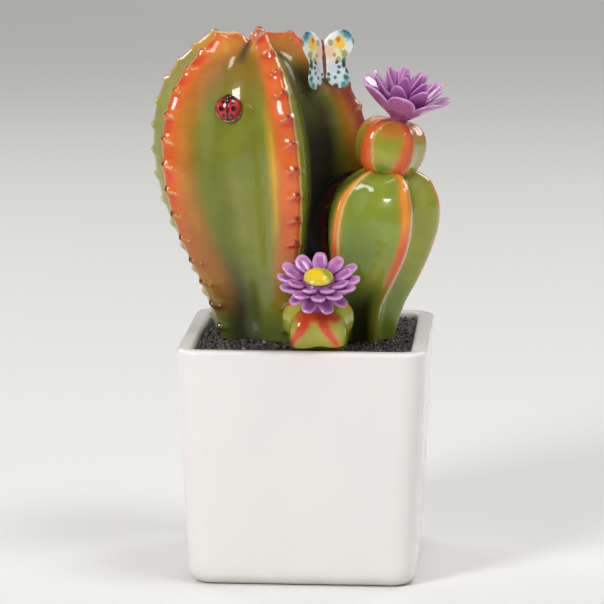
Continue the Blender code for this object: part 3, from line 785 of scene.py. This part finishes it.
# %% Beads
def make_beads(f):
    bm = bmesh.new()
    picked = []
    near = (f.gap < 7.0) & (f.t > 0.05) & (f.t < 0.78)
    for rib in range(5):
        for lump in range(int(f.walked.max() / LUMP_PITCH)):
            for across, along in ((1.7, 0.5), (3.3, -0.6)):
                sign = ORANGE_SIDE[rib] or 1
                target = (lump + 0.5) * LUMP_PITCH + along + random.uniform(-0.5, 0.5)
                miss = np.abs(f.walked - target) + np.abs(f.gap - across - random.uniform(-0.3, 0.3))
                miss = miss + 50.0 * ((f.rib != rib) | (f.side != sign) | ~near)
                best = int(np.argmin(miss))
                if miss[best] < 1.0:
                    radius = random.uniform(0.42, 0.62)
                    spot = Matrix.Translation(Vector(f.points[best]) * MM)
                    bmesh.ops.create_uvsphere(bm, u_segments=10, v_segments=7, radius=radius * MM,
                                              matrix=spot)
                    picked.append(best)
    per_bead = len(bm.verts) // max(len(picked), 1)
    masks = {name: np.repeat(values[picked], per_bead) for name, values in large_masks(f).items()}
    masks["dot"] = masks["dot"] * 0.0
    # Painted highlight: each bead is tinted pale, as it catches the light.
    masks["rim"] = np.full(len(bm.verts), 0.35)
    print("beads:", len(picked))
    return to_object(bm, "beads", masks)


large_cactus = join([large_body, make_beads(large_facts)], "large_ribbed_cactus")
settle(large_cactus, "large_cactus", large_glaze)

# %% [markdown]
# ## The right cactus and the round joint on it
# This one has smooth crests without lumps. Its ribs twist a little as they rise, and the two
# that face the large cactus are shorter to leave it room. On its top sits a round ribbed
# joint, leaning right, and the casting joins both, so the joint's sphere is sunk into the
# body's top and both are one object.

# %% Right cactus form
RIGHT_RIBS = (34.0, 104.0, 178.0, 254.0, 332.0)
RIGHT_REACH = (1.0, 1.0, 0.84, 0.64, 1.0)
RIGHT_TWIST = 17.0
RIGHT_CLEFT = 0.82      # valley radius of the first gap, against the others
BALL_RIBS = (32.0, 104.0, 176.0, 248.0, 320.0)
BALL_ROWS = (
    (2.0, -12.4, 2.0, -12.4), (8.4, -11.2, 7.5, -10.6), (13.0, -7, 11.5, -6.6), (14.9, 0, 13.0, 0),
    (13.4, 6.8, 11.7, 6.4), (9.0, 10.8, 7.8, 9.8), (2.0, 11.8, 2.0, 11.8))
BALL_CENTRE = (33.4, -11.0, 172.9)
BALL_TILT = 12.0


def right_form(columns=200, rings=240):
    bm, f = rib_grid(columns, rings, RIGHT_RIBS, 0.6, RIGHT_ROWS, 1.2)
    first = RIGHT_RIBS[0]
    size = np.interp((f.azimuth - first) % 360.0 + first, (*RIGHT_RIBS, first + 360.0),
                     (*RIGHT_REACH, RIGHT_REACH[0]))
    reach = rib_section(f, f.valley * np.where(f.gap_number == 0, RIGHT_CLEFT, 1.0)) * size
    f.gap = crest_gap(reach, f.crest * size, f.from_crest)
    turn = RIGHT_TWIST * (1 - after(f.height, GRIT_TOP, 42.0))
    reach = stand(f, reach, RIGHT_FOOT)
    flat = axis_at(RIGHT_AXIS, np.maximum(f.height, GRIT_TOP)) + reach[:, None] * bearing(f.azimuth - turn)
    place_verts(bm, np.column_stack([flat, f.height]))
    return bm, f


def ball_form(columns=160, rings=100):
    bm, f = rib_grid(columns, rings, BALL_RIBS, 0.6, BALL_ROWS, 1.2, foot=0)
    reach = f.valley + (f.crest - f.valley) * f.share
    f.gap = crest_gap(reach, f.crest, f.from_crest)
    flat = np.where(f.pole, 0.0, reach)[:, None] * bearing(f.azimuth)
    turn = np.array(Matrix.Rotation(math.radians(BALL_TILT), 3, "Y"))
    place_verts(bm, np.column_stack([flat, f.height]) @ turn.T + np.array(BALL_CENTRE))
    return bm, f


right_mesh, right_facts = right_form()
ball_mesh, ball_facts = ball_form()
print("right cactus vertices:", len(right_mesh.verts), "joint vertices:", len(ball_mesh.verts))

# %% [markdown]
# ## Paint of the right cactus
# A fresher green, with a narrow orange stripe down each crest and a pale line on the stripe's
# outer side. Painted shade darkens the body where it draws in behind the small bloom and on the
# sides turned to the large cactus, and a painted reflection lies as a pale streak on the front
# face. The joint is warmer: yellow-green in the middle, orange on top and broad red-orange crests.

# %% Right cactus masks and glaze
def right_masks(f):
    gap, height, strength = f.gap, f.height, f.strength
    front = f.azimuth > 332.0
    main = f.rib == 0
    high = after(height, 112.0, 16.0)
    upper = after(height, 134.0, 14.0)
    wide = np.where(main, 2.5, 1.5) * np.clip(before(height, 166.0, 10.0), 0.45, 1.0)
    band = within(gap, wide, 1.2) * (0.1 + 0.9 * high)
    fade = before(gap, wide + 3.0, 3.0) * 0.5 * high
    rim = hump(gap, wide + 0.5, 0.4) * (f.side > 0) * 0.8 * after(height, 98.0, 8.0)
    crown = after(strength, 0.2, 0.6) * after(height, 134.0, 24.0) * 0.4
    crown = np.maximum(crown, hump(f.azimuth, 82.0, 24.0) * 0.95 * high)
    # Painted reflection: a pale streak on the front face, left of the main crest.
    sheen = front * (f.side < 0) * hump(gap, 8.0, 3.2) * hump(height, 126.0, 15.0) * 0.6
    # Painted shade: low on the front face behind the small bloom, on the sides turned to the large cactus,
    # and high in the cleft next to the main crest.
    inner = (f.azimuth > 200.0) * after(strength, 0.1, 0.5)
    hidden = after(f.azimuth, 190.0, 15.0) * before(f.azimuth, 316.0, 10.0)
    deep = np.maximum(inner * before(height, 121.0, 14.0) * 0.9, hidden * before(height, 152.0, 10.0))
    cleft = (f.azimuth < 104.0) * after(strength, 0.82, 0.18) * after(height, 136.0, 14.0) * 0.6
    root = before(height, 104.0, 12.0) * 0.6
    neck = after(height, 159.0, 5.0) * 0.5
    return {"band": band, "ochre": band * upper, "fade": fade, "rim": rim, "crown": crown,
            "deep": np.maximum(deep, cleft), "root": root, "neck": neck, "sheen": sheen}


def ball_masks(f):
    gap, rise = f.gap, f.height
    top = after(rise, 3.0, 7.0)
    wide = 2.0 + 1.3 * before(rise, 5.0, 10.0)
    band = within(gap, wide, 1.8)
    fade = np.maximum(before(gap, wide + 3.4, 3.6) * 0.65, top)
    rim = hump(gap, wide + 0.7, 0.35) * (f.side > 0) * 0.5
    crown = after(f.strength, 0.1, 0.6) * 0.9 * after(rise, -8.0, 6.0)
    # Painted shade under the joint, where it sits on the body.
    deep = before(rise, -8.5, 3.0) * 0.55
    none = rise * 0.0
    return {"band": np.maximum(band, top * 0.2), "ochre": none, "fade": fade, "rim": rim, "crown": crown,
            "deep": deep, "root": none, "neck": none, "sheen": none}


RIGHT_LAYERS = (
    ("crown", srgb(158, 160, 48), 60.0),
    ("sheen", srgb(172, 170, 84), 80.0),
    ("root", srgb(96, 112, 48), 90.0),
    ("neck", srgb(128, 132, 44), 90.0),
    ("fade", srgb(208, 136, 44), 80.0),
    ("band", srgb(216, 92, 40), 110.0),
    ("ochre", srgb(226, 142, 50), 90.0),
    ("deep", srgb(42, 42, 30), 60.0),
    ("rim", srgb(222, 206, 138), 300.0))
right_glaze = layered_glaze("right_cactus_glaze", srgb(120, 142, 46), RIGHT_LAYERS, pool_scale=60.0)
right_cactus = join([to_object(right_mesh, "right_body", right_masks(right_facts)),
                     to_object(ball_mesh, "round_joint", ball_masks(ball_facts))], "right_ribbed_cactus")
settle(right_cactus, "right_cactus", right_glaze)

# %% [markdown]
# ## The small front cactus
# A stubby body that leans towards the viewer and carries the open bloom. It is made upright
# in rows like the others, and then every point is turned forward round the foot, the more the
# higher it is, until the full lean is reached 8 mm up.

# %% Front cactus
FRONT_RIBS = (44.0, 116.0, 184.0, 252.0, 324.0)
FULL_LEAN_AT = 8.0      # height at which the whole lean is reached


def front_form(columns=160, rings=120):
    bm, f = rib_grid(columns, rings, FRONT_RIBS, 0.6, FRONT_ROWS, 1.1)
    f.reach = f.valley + (f.crest - f.valley) * f.share
    f.gap = crest_gap(f.reach, f.crest, f.from_crest)
    f.reach = np.where(f.number == rings, 0.0, f.reach)
    flat = f.reach[:, None] * bearing(f.azimuth)
    angle = np.radians(FRONT_LEAN) * np.clip(f.height / FULL_LEAN_AT, 0.0, 1.0)
    level = np.maximum(f.height, 0.0)
    x = flat[:, 0] + FRONT_BASE[0]
    y = flat[:, 1] * np.cos(angle) - level * np.sin(angle) + FRONT_BASE[1]
    z = flat[:, 1] * np.sin(angle) + level * np.cos(angle) + FRONT_BASE[2] + np.minimum(f.height, 0.0)
    centre = front_place(z)
    away = np.column_stack([x, y]) - centre
    length = np.maximum(np.hypot(away[:, 0], away[:, 1]), 1e-6)
    direction = away / length[:, None]
    length = held_off(centre, direction, length, axis_at(RIGHT_AXIS, z), right_limit(z))
    foot_radius = np.where(f.pole, 0.0, FRONT_FOOT)
    foot_flat = np.array(FRONT_BASE[:2]) + foot_radius[:, None] * bearing(f.azimuth)
    flat = np.where(f.foot[:, None], foot_flat, centre + length[:, None] * direction)
    z = np.where(f.foot, np.choose(np.minimum(f.number, 2), FOOT_LEVELS), z)
    place_verts(bm, np.column_stack([flat, z]))
    return bm, f


def front_masks(f):
    gap, rise, angle = f.gap, f.height, (f.azimuth + 180.0) % 360.0 - 180.0
    opening = 1.0 - 0.5 * after(rise, 7.0, 12.0)
    place = np.where(angle < -4.0, -4.0 - 38.0 * opening, -4.0 + 40.0 * opening)
    inner = before(np.abs(angle + 4.0), 68.0, 14.0)
    line = np.where(inner > 0, np.abs(f.reach * np.sin(np.radians(angle - place))), gap + 0.6)
    high = after(rise, 2.0, 9.0)
    thick = 1.0 + 0.9 * after(rise, 9.0, 8.0)
    band = np.maximum(within(line, thick, 1.3) * high, after(rise, 17.6, 1.6) * inner * 0.9)
    fade = before(line, thick + 2.6, 2.6) * 0.6 * high
    lobes = after(gap, 3.0, 6.0) * after(rise, 4.0, 8.0) * 0.7
    # Painted shade in the hollow low on the front, and all round the foot.
    hollow = hump(angle, -2.0, 22.0) * before(rise, 5.5, 4.5)
    deep = np.maximum(hollow, before(rise, 2.5, 3.0) * 0.55)
    return {"band": band, "fade": fade, "lobes": lobes, "deep": deep}


FRONT_LAYERS = (("lobes", srgb(178, 178, 62), 90.0), ("fade", srgb(206, 140, 52), 110.0),
                ("band", srgb(212, 72, 34), 160.0), ("deep", srgb(48, 46, 28), 110.0))
front_glaze = layered_glaze("front_cactus_glaze", srgb(164, 164, 56), FRONT_LAYERS, pool_scale=110.0)
front_mesh, front_facts = front_form()
front_cactus = to_object(front_mesh, "front_small_cactus", front_masks(front_facts))
settle(front_cactus, "front_cactus", front_glaze)

# %% [markdown]
# ## Blooms
# Each petal was pressed from clay: a thick paddle with a raised rim round a hollow face.
# A sphere is drawn out into a paddle, its upper half is sunk in the middle, and the rim stays
# high. Rings of such petals stand round a turned core, at the places the solids use. The
# masks paint a paler painted highlight along the upper side of the rims and tips, and darker
# painted shade at the roots and on the core, where the petals crowd together.

# %% Petals
PETAL_BLUNTNESS = 0.4


def make_petal(length, width, thickness, hollow, curl, pointed):
    """Petal along +X in millimetres, with its rim and root masks."""
    bm = bmesh.new()
    bmesh.ops.create_uvsphere(bm, u_segments=24, v_segments=18, radius=1.0)
    places = np.array([vert.co[:] for vert in bm.verts])
    side, up, along = places[:, 1], places[:, 0], (places[:, 2] + 1) / 2
    broad = 0.8 + 0.2 * soft_step(along / 0.6)
    broad = broad * (1 - pointed * after(along, 0.55, 0.45))
    girth = np.maximum(np.hypot(side, up), 1e-6)
    cross = np.clip(side / girth, -1, 1)
    blunt = np.where(along > 0.5, girth ** -PETAL_BLUNTNESS, 1.0)
    side, up = side * blunt, up * blunt
    sink = hollow * thickness * girth * (1 - cross ** 2) ** 1.3 * after(along, 0.05, 0.2)
    lift = up * thickness / 2 - np.where(up > 0, sink, 0.0)
    points = np.column_stack([along * length, side * width / 2 * broad, lift + curl * length * along ** 2])
    place_verts(bm, points)
    # Painted highlight along the rims and tips on the upper side; painted shade towards the root.
    edge = np.maximum(after(np.abs(cross), 0.3, 0.6), after(along, 0.78, 0.2))
    rim = edge * after(up, -0.5, 0.4) * after(along, 0.2, 0.4)
    root = before(along, 0.5, 0.5)
    return bm, rim, root


def flower_frame(place, tilt):
    """Frame of a bloom: leaning to the front, then to the right."""
    turn = Matrix.Rotation(math.radians(tilt[1]), 4, "Y") @ Matrix.Rotation(math.radians(tilt[0]), 4, "X")
    return Matrix.Translation(Vector(place) * MM) @ turn


def make_core(core):
    """Turned core of a bloom: the profile's points are joined and spun round."""
    bm = bmesh.new()
    outline = [(0.0, core[0][1])] + list(core) + [(0.0, core[-1][1])]
    verts = [bm.verts.new(Vector((radius, 0.0, height)) * MM) for radius, height in outline]
    edges = [bm.edges.new(pair) for pair in zip(verts, verts[1:])]
    bmesh.ops.spin(bm, geom=verts + edges, cent=(0, 0, 0), axis=(0, 0, 1), angle=2 * math.pi, steps=48,
                   use_merge=True)
    bmesh.ops.remove_doubles(bm, verts=bm.verts, dist=1e-6)
    bmesh.ops.recalc_face_normals(bm, faces=bm.faces)
    count = len(bm.verts)
    # The core is darkened with the same painted shade as the petals' roots.
    return to_object(bm, "core", {"rim": np.zeros(count), "root": np.full(count, 0.45)})


def make_flower(name, place, tilt, rings, core):
    parts = [make_core(core)]
    for count, first, root, height, elevation, length, width, thickness, hollow, curl, pointed in rings:
        for k in range(count):
            stretch = random.uniform(0.94, 1.0)
            bm, rim, low = make_petal(length * stretch, width, thickness, hollow, curl, pointed)
            turn = Matrix.Rotation(math.radians(first + 360.0 * k / count + random.uniform(-2, 2)), 4, "Z")
            roll = Matrix.Rotation(math.radians(random.uniform(-5, 5)), 4, "X")
            lean = Matrix.Rotation(-math.radians(elevation + random.uniform(-1.5, 1.5)), 4, "Y")
            out = Matrix.Translation(Vector((root, 0, height)) * MM)
            bmesh.ops.transform(bm, matrix=turn @ out @ lean @ roll, verts=bm.verts)
            parts.append(to_object(bm, "petal", {"rim": rim, "root": low}))
    flower = join(parts, name)
    flower.data.transform(flower_frame(place, tilt))
    return flower


print("one petal has", len(make_petal(10, 6, 2, 0.7, 0.05, 0.0)[0].faces), "faces")

# %% [markdown]
# ## The two blooms
# The front bloom lies open: two full rings of short round petals, and a few more turned
# down under them. The top bloom is a cup: broad petals outside, and narrow pointed ones that
# stand up inside it. Rows give count, first angle, root radius and height, elevation,
# length, width, thickness, hollow, curl and how pointed the tip is.

# %% Bloom sizes and glaze
FRONT_FLOWER_PLACE, FRONT_FLOWER_TILT = (7.2, -46.8, 125.8), (25.0, 2.0)
FRONT_FLOWER_RINGS = (
    (9, 13.0, 5.5, -1.9, 24.0, 9.1, 5.8, 2.7, 0.3, 0.06, 0.0),
    (12, 2.0, 5.1, -3.1, 12.0, 12.5, 6.2, 2.7, 0.3, 0.08, 0.0),
    (8, 24.0, 3.3, -6.2, -20.0, 9.7, 6.0, 2.6, 0.25, 0.0, 0.0))
FRONT_FLOWER_CORE = ((3.0, -15.4), (3.8, -14.8), (4.4, -9.0), (6.0, -4.8), (6.7, -2.0), (6.2, -0.8),
                     (5.6, -0.4))
TOP_FLOWER_PLACE, TOP_FLOWER_TILT = (36.8, -11.0, 183.9), (6.0, 15.0)
TOP_FLOWER_RINGS = (
    (7, 12.0, 4.4, 2.2, 44.0, 18.0, 11.8, 2.8, 0.3, -0.09, 0.0),
    (8, 31.0, 4.2, 4.4, 52.0, 17.0, 7.8, 2.1, 0.4, -0.05, 0.25),
    (7, 3.0, 3.2, 6.0, 63.0, 15.8, 6.2, 2.0, 0.35, -0.02, 0.35),
    (5, 41.0, 1.8, 7.2, 77.0, 14.4, 5.0, 1.9, 0.3, 0.0, 0.4))
TOP_FLOWER_CORE = ((2.6, -3.0), (3.4, -2.4), (3.8, 1.0), (6.4, 2.9), (8.2, 5.4), (9.0, 8.4), (6.6, 10.2),
                   (2.6, 10.8))

# Painted shade at the roots and a painted highlight on the rims.
PETAL_LAYERS = (("root", srgb(108, 46, 110), 200.0), ("rim", srgb(208, 150, 204), 200.0))
petal_glaze = layered_glaze("petal_glaze", srgb(172, 100, 168), PETAL_LAYERS, pool_scale=320.0,
                            pool_depth=0.16, coat=1.0, wave=0.0004)
front_flower = make_flower("front_bloom", FRONT_FLOWER_PLACE, FRONT_FLOWER_TILT, FRONT_FLOWER_RINGS,
                           FRONT_FLOWER_CORE)
settle(front_flower, "front_flower", petal_glaze)
top_flower = make_flower("top_bloom", TOP_FLOWER_PLACE, TOP_FLOWER_TILT, TOP_FLOWER_RINGS, TOP_FLOWER_CORE)
settle(top_flower, "top_flower", petal_glaze)

# %% [markdown]
# ## The yellow middle
# A low dome that the painter filled with thick yellow, with one dab of green; its edge is made
# paler with a painted highlight. It is a sphere cut by its own profile: flat below, domed above, and gently
# lumpy.

# %% Flower disc
def make_disc():
    bm, around, up = clay_ball(64, 40)
    angle = around * 2 * math.pi
    rise = np.clip((up - 0.25) / 0.75, 0.0, 1.0) * math.pi / 2
    radius = np.where(up < 0.25, up / 0.25, np.cos(rise)) * 5.9
    height = 2.6 * np.sin(rise)
    points = np.column_stack([radius * np.sin(angle), -radius * np.cos(angle), height])
    points[:, 2] += np.where(up > 0.3, 0.16 * wander(points, 1.5, 3), 0.0)
    place_verts(bm, points)
    # Painted highlight: paler yellow round the edge.
    edge = after(radius, 4.4, 1.2)
    dab = hump(points[:, 0] + 0.5 * points[:, 1], 3.4, 1.5) * hump(points[:, 1], 0.2, 3.0) * 1.6
    disc = to_object(bm, "bloom_middle", {"edge": edge, "dab": dab})
    disc.data.transform(flower_frame(FRONT_FLOWER_PLACE, FRONT_FLOWER_TILT))
    return disc


DISC_LAYERS = (("edge", srgb(228, 208, 84), 200.0), ("dab", srgb(140, 164, 40), 420.0))
disc_glaze = layered_glaze("disc_glaze", srgb(236, 200, 34), DISC_LAYERS, pool_scale=200.0)
settle(make_disc(), "flower_disc", disc_glaze)

# %% [markdown]
# ## The ladybird
# A small domed beetle stuck on the large cactus. Its red dome is split by a fine groove
# between the wing cases, with round black spots in mirrored pairs, and the black head is a
# smaller sphere tucked under the front edge.

# %% Ladybird
LADYBIRD_PLACE, LADYBIRD_FACING = (-30.2, -22.3, 189.35), (-0.06, -0.97, 0.25)
LADYBIRD_SPOTS = ((2.0, 2.4, 0.75), (2.5, -0.3, 1.1), (1.7, -3.0, 0.75), (0.0, 2.7, 1.0))


def facing_frame(place, outward):
    """Frame with +Z outwards and +Y as far up as it can be."""
    z_axis = Vector(outward).normalized()
    x_axis = Vector((0, 0, 1)).cross(z_axis).normalized()
    turn = Matrix((x_axis, z_axis.cross(x_axis), z_axis)).transposed().to_4x4()
    return Matrix.Translation(Vector(place) * MM) @ turn


def make_ladybird():
    bm, around, up = clay_ball(96, 64)
    angle = around * 2 * math.pi
    rise = np.clip((up - 0.2) / 0.8, 0.0, 1.0) * math.pi / 2
    radius = np.where(up < 0.2, up / 0.2, np.cos(rise)) * 5.0
    x, y = radius * np.sin(angle), -radius * np.cos(angle)
    z = 3.4 * np.sin(rise) - 0.22 * hump(x, 0.0, 0.28) * (up > 0.25)
    place_verts(bm, np.column_stack([x, y, z]))
    black = hump(x, 0.0, 0.5) * 1.4 + after(y, 3.2, 0.5)
    for sx, sy, size in LADYBIRD_SPOTS:
        away = np.hypot(np.abs(x) - sx, y - sy)
        black = np.maximum(black, within(away, size, 0.3))
    shell = to_object(bm, "wing_cases", {"black": black * (up > 0.15), "edge": after(radius, 4.3, 0.7)})
    bm, around, up = clay_ball(72, 8)
    angle = around * 2 * math.pi
    radius = np.interp(up, (0.0, 0.25, 0.5, 0.75, 1.0), (0.0, 4.6, 5.4, 4.7, 0.0))
    x, y = radius * np.sin(angle), -radius * np.cos(angle)
    place_verts(bm, np.column_stack([x, y, np.interp(up, (0.0, 0.5, 1.0), (0.0, 0.15, 0.6))]))
    # Painted reflection: the skirt's lower side is tinted pale beige.
    pale = before(y, 1.0, 4.0) * (0.55 + 0.9 * wander(np.column_stack([x, y, y]), 1.6, 6))
    skirt = to_object(bm, "glaze_skirt", {"pale": pale, "edge": np.ones(len(x))})
    bm = bmesh.new()
    bmesh.ops.create_uvsphere(bm, u_segments=32, v_segments=20, radius=1.9 * MM)
    bmesh.ops.translate(bm, verts=bm.verts, vec=Vector((0, 3.9, 0.35)) * MM)
    for side in (-1, 1):
        eye = Matrix.Translation(Vector((side * 0.9, 5.1, 1.5)) * MM)
        bmesh.ops.create_uvsphere(bm, u_segments=12, v_segments=8, radius=0.36 * MM, matrix=eye)
    for vert in bm.verts:
        vert.co.z = max(vert.co.z, 0.0)
    count = len(bm.verts)
    head = to_object(bm, "head", {"black": np.ones(count), "edge": np.zeros(count)})
    beetle = join([shell, head, skirt], "red_ladybird")
    beetle.data.transform(facing_frame(LADYBIRD_PLACE, LADYBIRD_FACING))
    return beetle


BEETLE_LAYERS = (("edge", srgb(140, 18, 26), 400.0), ("pale", srgb(196, 186, 158), 400.0),
                 ("black", srgb(20, 12, 14), 900.0))
beetle_glaze = layered_glaze("ladybird_glaze", srgb(196, 30, 42), BEETLE_LAYERS, pool_scale=260.0,
                             ragged=1.5, wave=0.00006)
settle(make_ladybird(), "ladybird", beetle_glaze)

# %% [markdown]
# ## The butterfly
# White glazed wings with hand-dabbed spots. The sphere is flattened so that its equator
# becomes the wings' outline and its poles the middle of the front and back, which gives
# rounded edges for nothing. Both wings are then folded forward. The dabs are laid out in
# rows that follow the margin, the same on both wings, and mixed into one colour per vertex.

# %% Butterfly wings
BUTTERFLY_PLACE, BUTTERFLY_YAW, BUTTERFLY_LEAN = (5.7, 0.9, 206.3), 28.0, 8.0
WING_RAISE, WING_THICKNESS = 27.0, 1.2


def wing_reach(angle):
    """Outline of a wing pair by the angle above the sideways direction."""
    return 2.6 + 13.0 * hump(angle, 42.0, 44.0) + 11.2 * hump(angle, -52.0, 38.0)


def wing_dabs():
    """Dab centres as angle, share of the reach, radius, strength and colour; broad soft washes come first."""
    dabs = [(30.0, 0.35, 4.2, 0.6, srgb(246, 222, 196)), (60.0, 0.3, 2.6, 0.7, srgb(240, 190, 150)),
            (-44.0, 0.6, 4.6, 0.6, srgb(192, 222, 226)), (-30.0, 0.4, 2.4, 0.5, srgb(196, 190, 222)),
            (12.0, 0.55, 2.6, 0.6, srgb(232, 232, 178)), (47.0, 1.02, 4.4, 0.75, srgb(120, 184, 194)),
            (49.0, 1.06, 3.1, 0.95, srgb(36, 120, 138)), (52.0, 1.12, 2.2, 0.9, srgb(16, 44, 56)),
            (44.0, 0.6, 2.5, 0.95, srgb(246, 200, 50)), (52.0, 0.68, 1.0, 0.9, srgb(196, 112, 28)),
            (16.0, 0.72, 1.5, 0.9, srgb(150, 160, 74)), (66.0, 0.62, 1.2, 0.8, srgb(138, 152, 72)),
            (2.0, 0.6, 1.1, 0.8, srgb(150, 160, 80)), (24.0, 0.34, 0.7, 0.8, srgb(168, 108, 120))]
    for k, angle in enumerate((-2, -14, -26, -40, -54, -68, -80)):
        paint = srgb(16, 36, 46) if k % 3 else srgb(34, 110, 126)
        dabs.append((angle, 0.86 + 0.05 * (k % 3), 1.0 + 0.2 * (k % 2), 0.95, paint))
    for k, angle in enumerate((-12, -26, -42, -60, -74)):
        paint = srgb(70, 74, 128) if k % 2 else srgb(18, 40, 56)
        dabs.append((angle, 0.56 + 0.06 * (k % 2), 0.75, 0.9, paint))
    dabs.append((-50.0, 1.0, 2.4, 0.7, srgb(86, 176, 188)))
    dabs.append((28.0, 1.02, 1.5, 0.85, srgb(24, 84, 100)))
    return dabs


def paint_wings(x, y):
    """Colour of each vertex from the white ground and the dabs."""
    colour = np.tile(np.array(srgb(232, 236, 230)), (len(x), 1))
    shiver = wander(np.column_stack([np.abs(x), y, x * 0.0]), 1.3, 4)
    for angle, share, size, strength, paint in wing_dabs():
        reach = wing_reach(np.array(angle)) * share
        cx, cy = reach * math.cos(math.radians(angle)), reach * math.sin(math.radians(angle))
        away = np.hypot(np.abs(x) - cx, (y - cy) * 0.85) + 0.35 * size * shiver
        amount = (soft_step((size - away) / (0.6 * size) + 0.4) * strength)[:, None]
        colour = colour * (1 - amount) + np.array(paint) * amount
    return colour


def paint_points(obj, colours):
    layer = obj.data.attributes.new("dabs", "FLOAT_COLOR", "POINT")
    layer.data.foreach_set("color", colours.astype(np.float32).ravel())
    return obj


def make_wings():
    bm = bmesh.new()
    bmesh.ops.create_uvsphere(bm, u_segments=240, v_segments=72, radius=1.0)
    places = np.array([vert.co[:] for vert in bm.verts])
    angle = np.arctan2(places[:, 1], places[:, 0])
    polar = np.arccos(np.clip(places[:, 2], -1, 1))
    share = 1 - np.abs(polar / (math.pi / 2) - 1)
    reach = wing_reach(np.degrees(np.arctan2(places[:, 1], np.abs(places[:, 0])))) * share
    x, y = reach * np.cos(angle), reach * np.sin(angle)
    rounding = np.sqrt(np.clip(1 - share ** 8, 0, 1)) * np.where(places[:, 2] >= 0, 1, -1)
    ripple = 0.05 * np.sin(np.degrees(angle) / 9.0) * share
    raised = math.radians(WING_RAISE)
    z = WING_THICKNESS / 2 * (1 + rounding) + np.abs(x) * math.sin(raised) + ripple
    place_verts(bm, np.column_stack([x * math.cos(raised), y, z]))
    return paint_points(to_object(bm, "wings"), paint_wings(x, y))


# %% Butterfly body and glaze
def make_body():
    bm = bmesh.new()
    bmesh.ops.create_uvsphere(bm, u_segments=24, v_segments=40, radius=1.0)
    for vert in bm.verts:
        along = vert.co.z
        waist = 1.0 - 0.28 * hump(along, 0.42, 0.1) + 0.05 * math.sin(along * 22.0) * (along < 0.3)
        vert.co = Vector((vert.co.x * 1.15 * waist, along * 8.5, -vert.co.y * 1.25 * waist + 0.75)) * MM
    bmesh.ops.recalc_face_normals(bm, faces=bm.faces)
    brown = np.tile(np.array(srgb(120, 66, 58)), (len(bm.verts), 1))
    return paint_points(to_object(bm, "body"), brown)


butterfly = join([make_wings(), make_body()], "spotted_butterfly")
yaw, lean = math.radians(BUTTERFLY_YAW), math.radians(BUTTERFLY_LEAN)
butterfly.data.transform(facing_frame(BUTTERFLY_PLACE, (math.sin(yaw) * math.cos(lean),
                                                        -math.cos(yaw) * math.cos(lean), math.sin(lean))))
settle(butterfly, "butterfly",
       layered_glaze("butterfly_glaze", "dabs", (), pool_scale=150.0, pool_depth=0.05, wave=0.00008))

# %% [markdown]
# ## Floor, light and camera
# A plain pale floor and soft studio light. Glaze shows what surrounds it, so the lamps are
# large rectangles: their reflections are the white windows on the ribs. The camera stands
# 1.5 m away, 4 degrees to the right of the front and 10 degrees up, with a long lens.

# %% Stage
def make_floor():
    bm = bmesh.new()
    bmesh.ops.create_grid(bm, x_segments=2, y_segments=2, size=9.0)
    floor = to_object(bm, "studio_floor")
    material, tree = new_material("pale_floor")
    shade(tree, {"Base Color": srgb(234, 234, 232), "Roughness": 0.6})
    floor.data.materials.append(material)


def soft_lamp(name, place, target, width, height, power):
    lamp = bpy.data.lights.new(name, "AREA")
    lamp.shape = "RECTANGLE"
    lamp.size, lamp.size_y = width, height
    lamp.energy = power
    obj = bpy.data.objects.new(name, lamp)
    obj.location = place
    obj.rotation_euler = (Vector(target) - Vector(place)).to_track_quat("-Z", "Y").to_euler()
    bpy.context.scene.collection.objects.link(obj)


make_floor()
TARGET = (0.0, 0.0, 0.13)
soft_lamp("key_window", (-0.75, -0.95, 0.95), TARGET, 0.36, 0.52, 11.5)
soft_lamp("right_fill", (1.3, -0.85, 0.6), TARGET, 1.6, 1.8, 5.0)
soft_lamp("top_window", (0.42, -0.24, 1.23), TARGET, 0.5, 0.34, 5.0)
soft_lamp("back_left", (-0.9, 0.9, 0.9), TARGET, 0.6, 0.6, 4.5)
soft_lamp("back_right", (0.9, 1.0, 0.9), TARGET, 0.5, 0.6, 4.5)
soft_lamp("floor_light", (0.0, 3.2, 2.6), (0.0, 3.0, 0.0), 3.0, 2.0, 24.0)
world = bpy.data.worlds.new("studio_air")
world.use_nodes = True
background = world.node_tree.nodes["Background"]
background.inputs["Color"].default_value = (1.0, 0.985, 0.96, 1.0)
background.inputs["Strength"].default_value = 0.24
bpy.context.scene.world = world
bpy.context.scene.view_settings.view_transform = "Standard"

# %% Camera
CAMERA_AZIMUTH, CAMERA_RISE, CAMERA_DISTANCE = 3.97, 10.18, 1.5
AIM_LEFT, AIM_HEIGHT = 0.00255, 0.1076
SENSOR_WIDTH, PICTURE_PIXELS, FOCAL_PIXELS = 36.0, 604.0, 3684.0
azimuth, rise = math.radians(CAMERA_AZIMUTH), math.radians(CAMERA_RISE)
back = Vector((math.sin(azimuth) * math.cos(rise), -math.cos(azimuth) * math.cos(rise), math.sin(rise)))
aim = Vector((-AIM_LEFT * math.cos(azimuth), -AIM_LEFT * math.sin(azimuth), AIM_HEIGHT))
lens = bpy.data.cameras.new("photo_camera")
lens.sensor_width = SENSOR_WIDTH
lens.sensor_fit = "HORIZONTAL"
lens.lens = SENSOR_WIDTH * FOCAL_PIXELS / PICTURE_PIXELS
lens.clip_end = 30.0
camera = bpy.data.objects.new("photo_camera", lens)
camera.location = aim + back * CAMERA_DISTANCE
camera.rotation_euler = (-back).to_track_quat("-Z", "Y").to_euler()
bpy.context.scene.collection.objects.link(camera)
bpy.context.scene.camera = camera
print("camera at", [round(v, 3) for v in camera.location], "lens", round(lens.lens, 1), "mm")

# %% [markdown]

# %% Finish
print("ornament dressed")
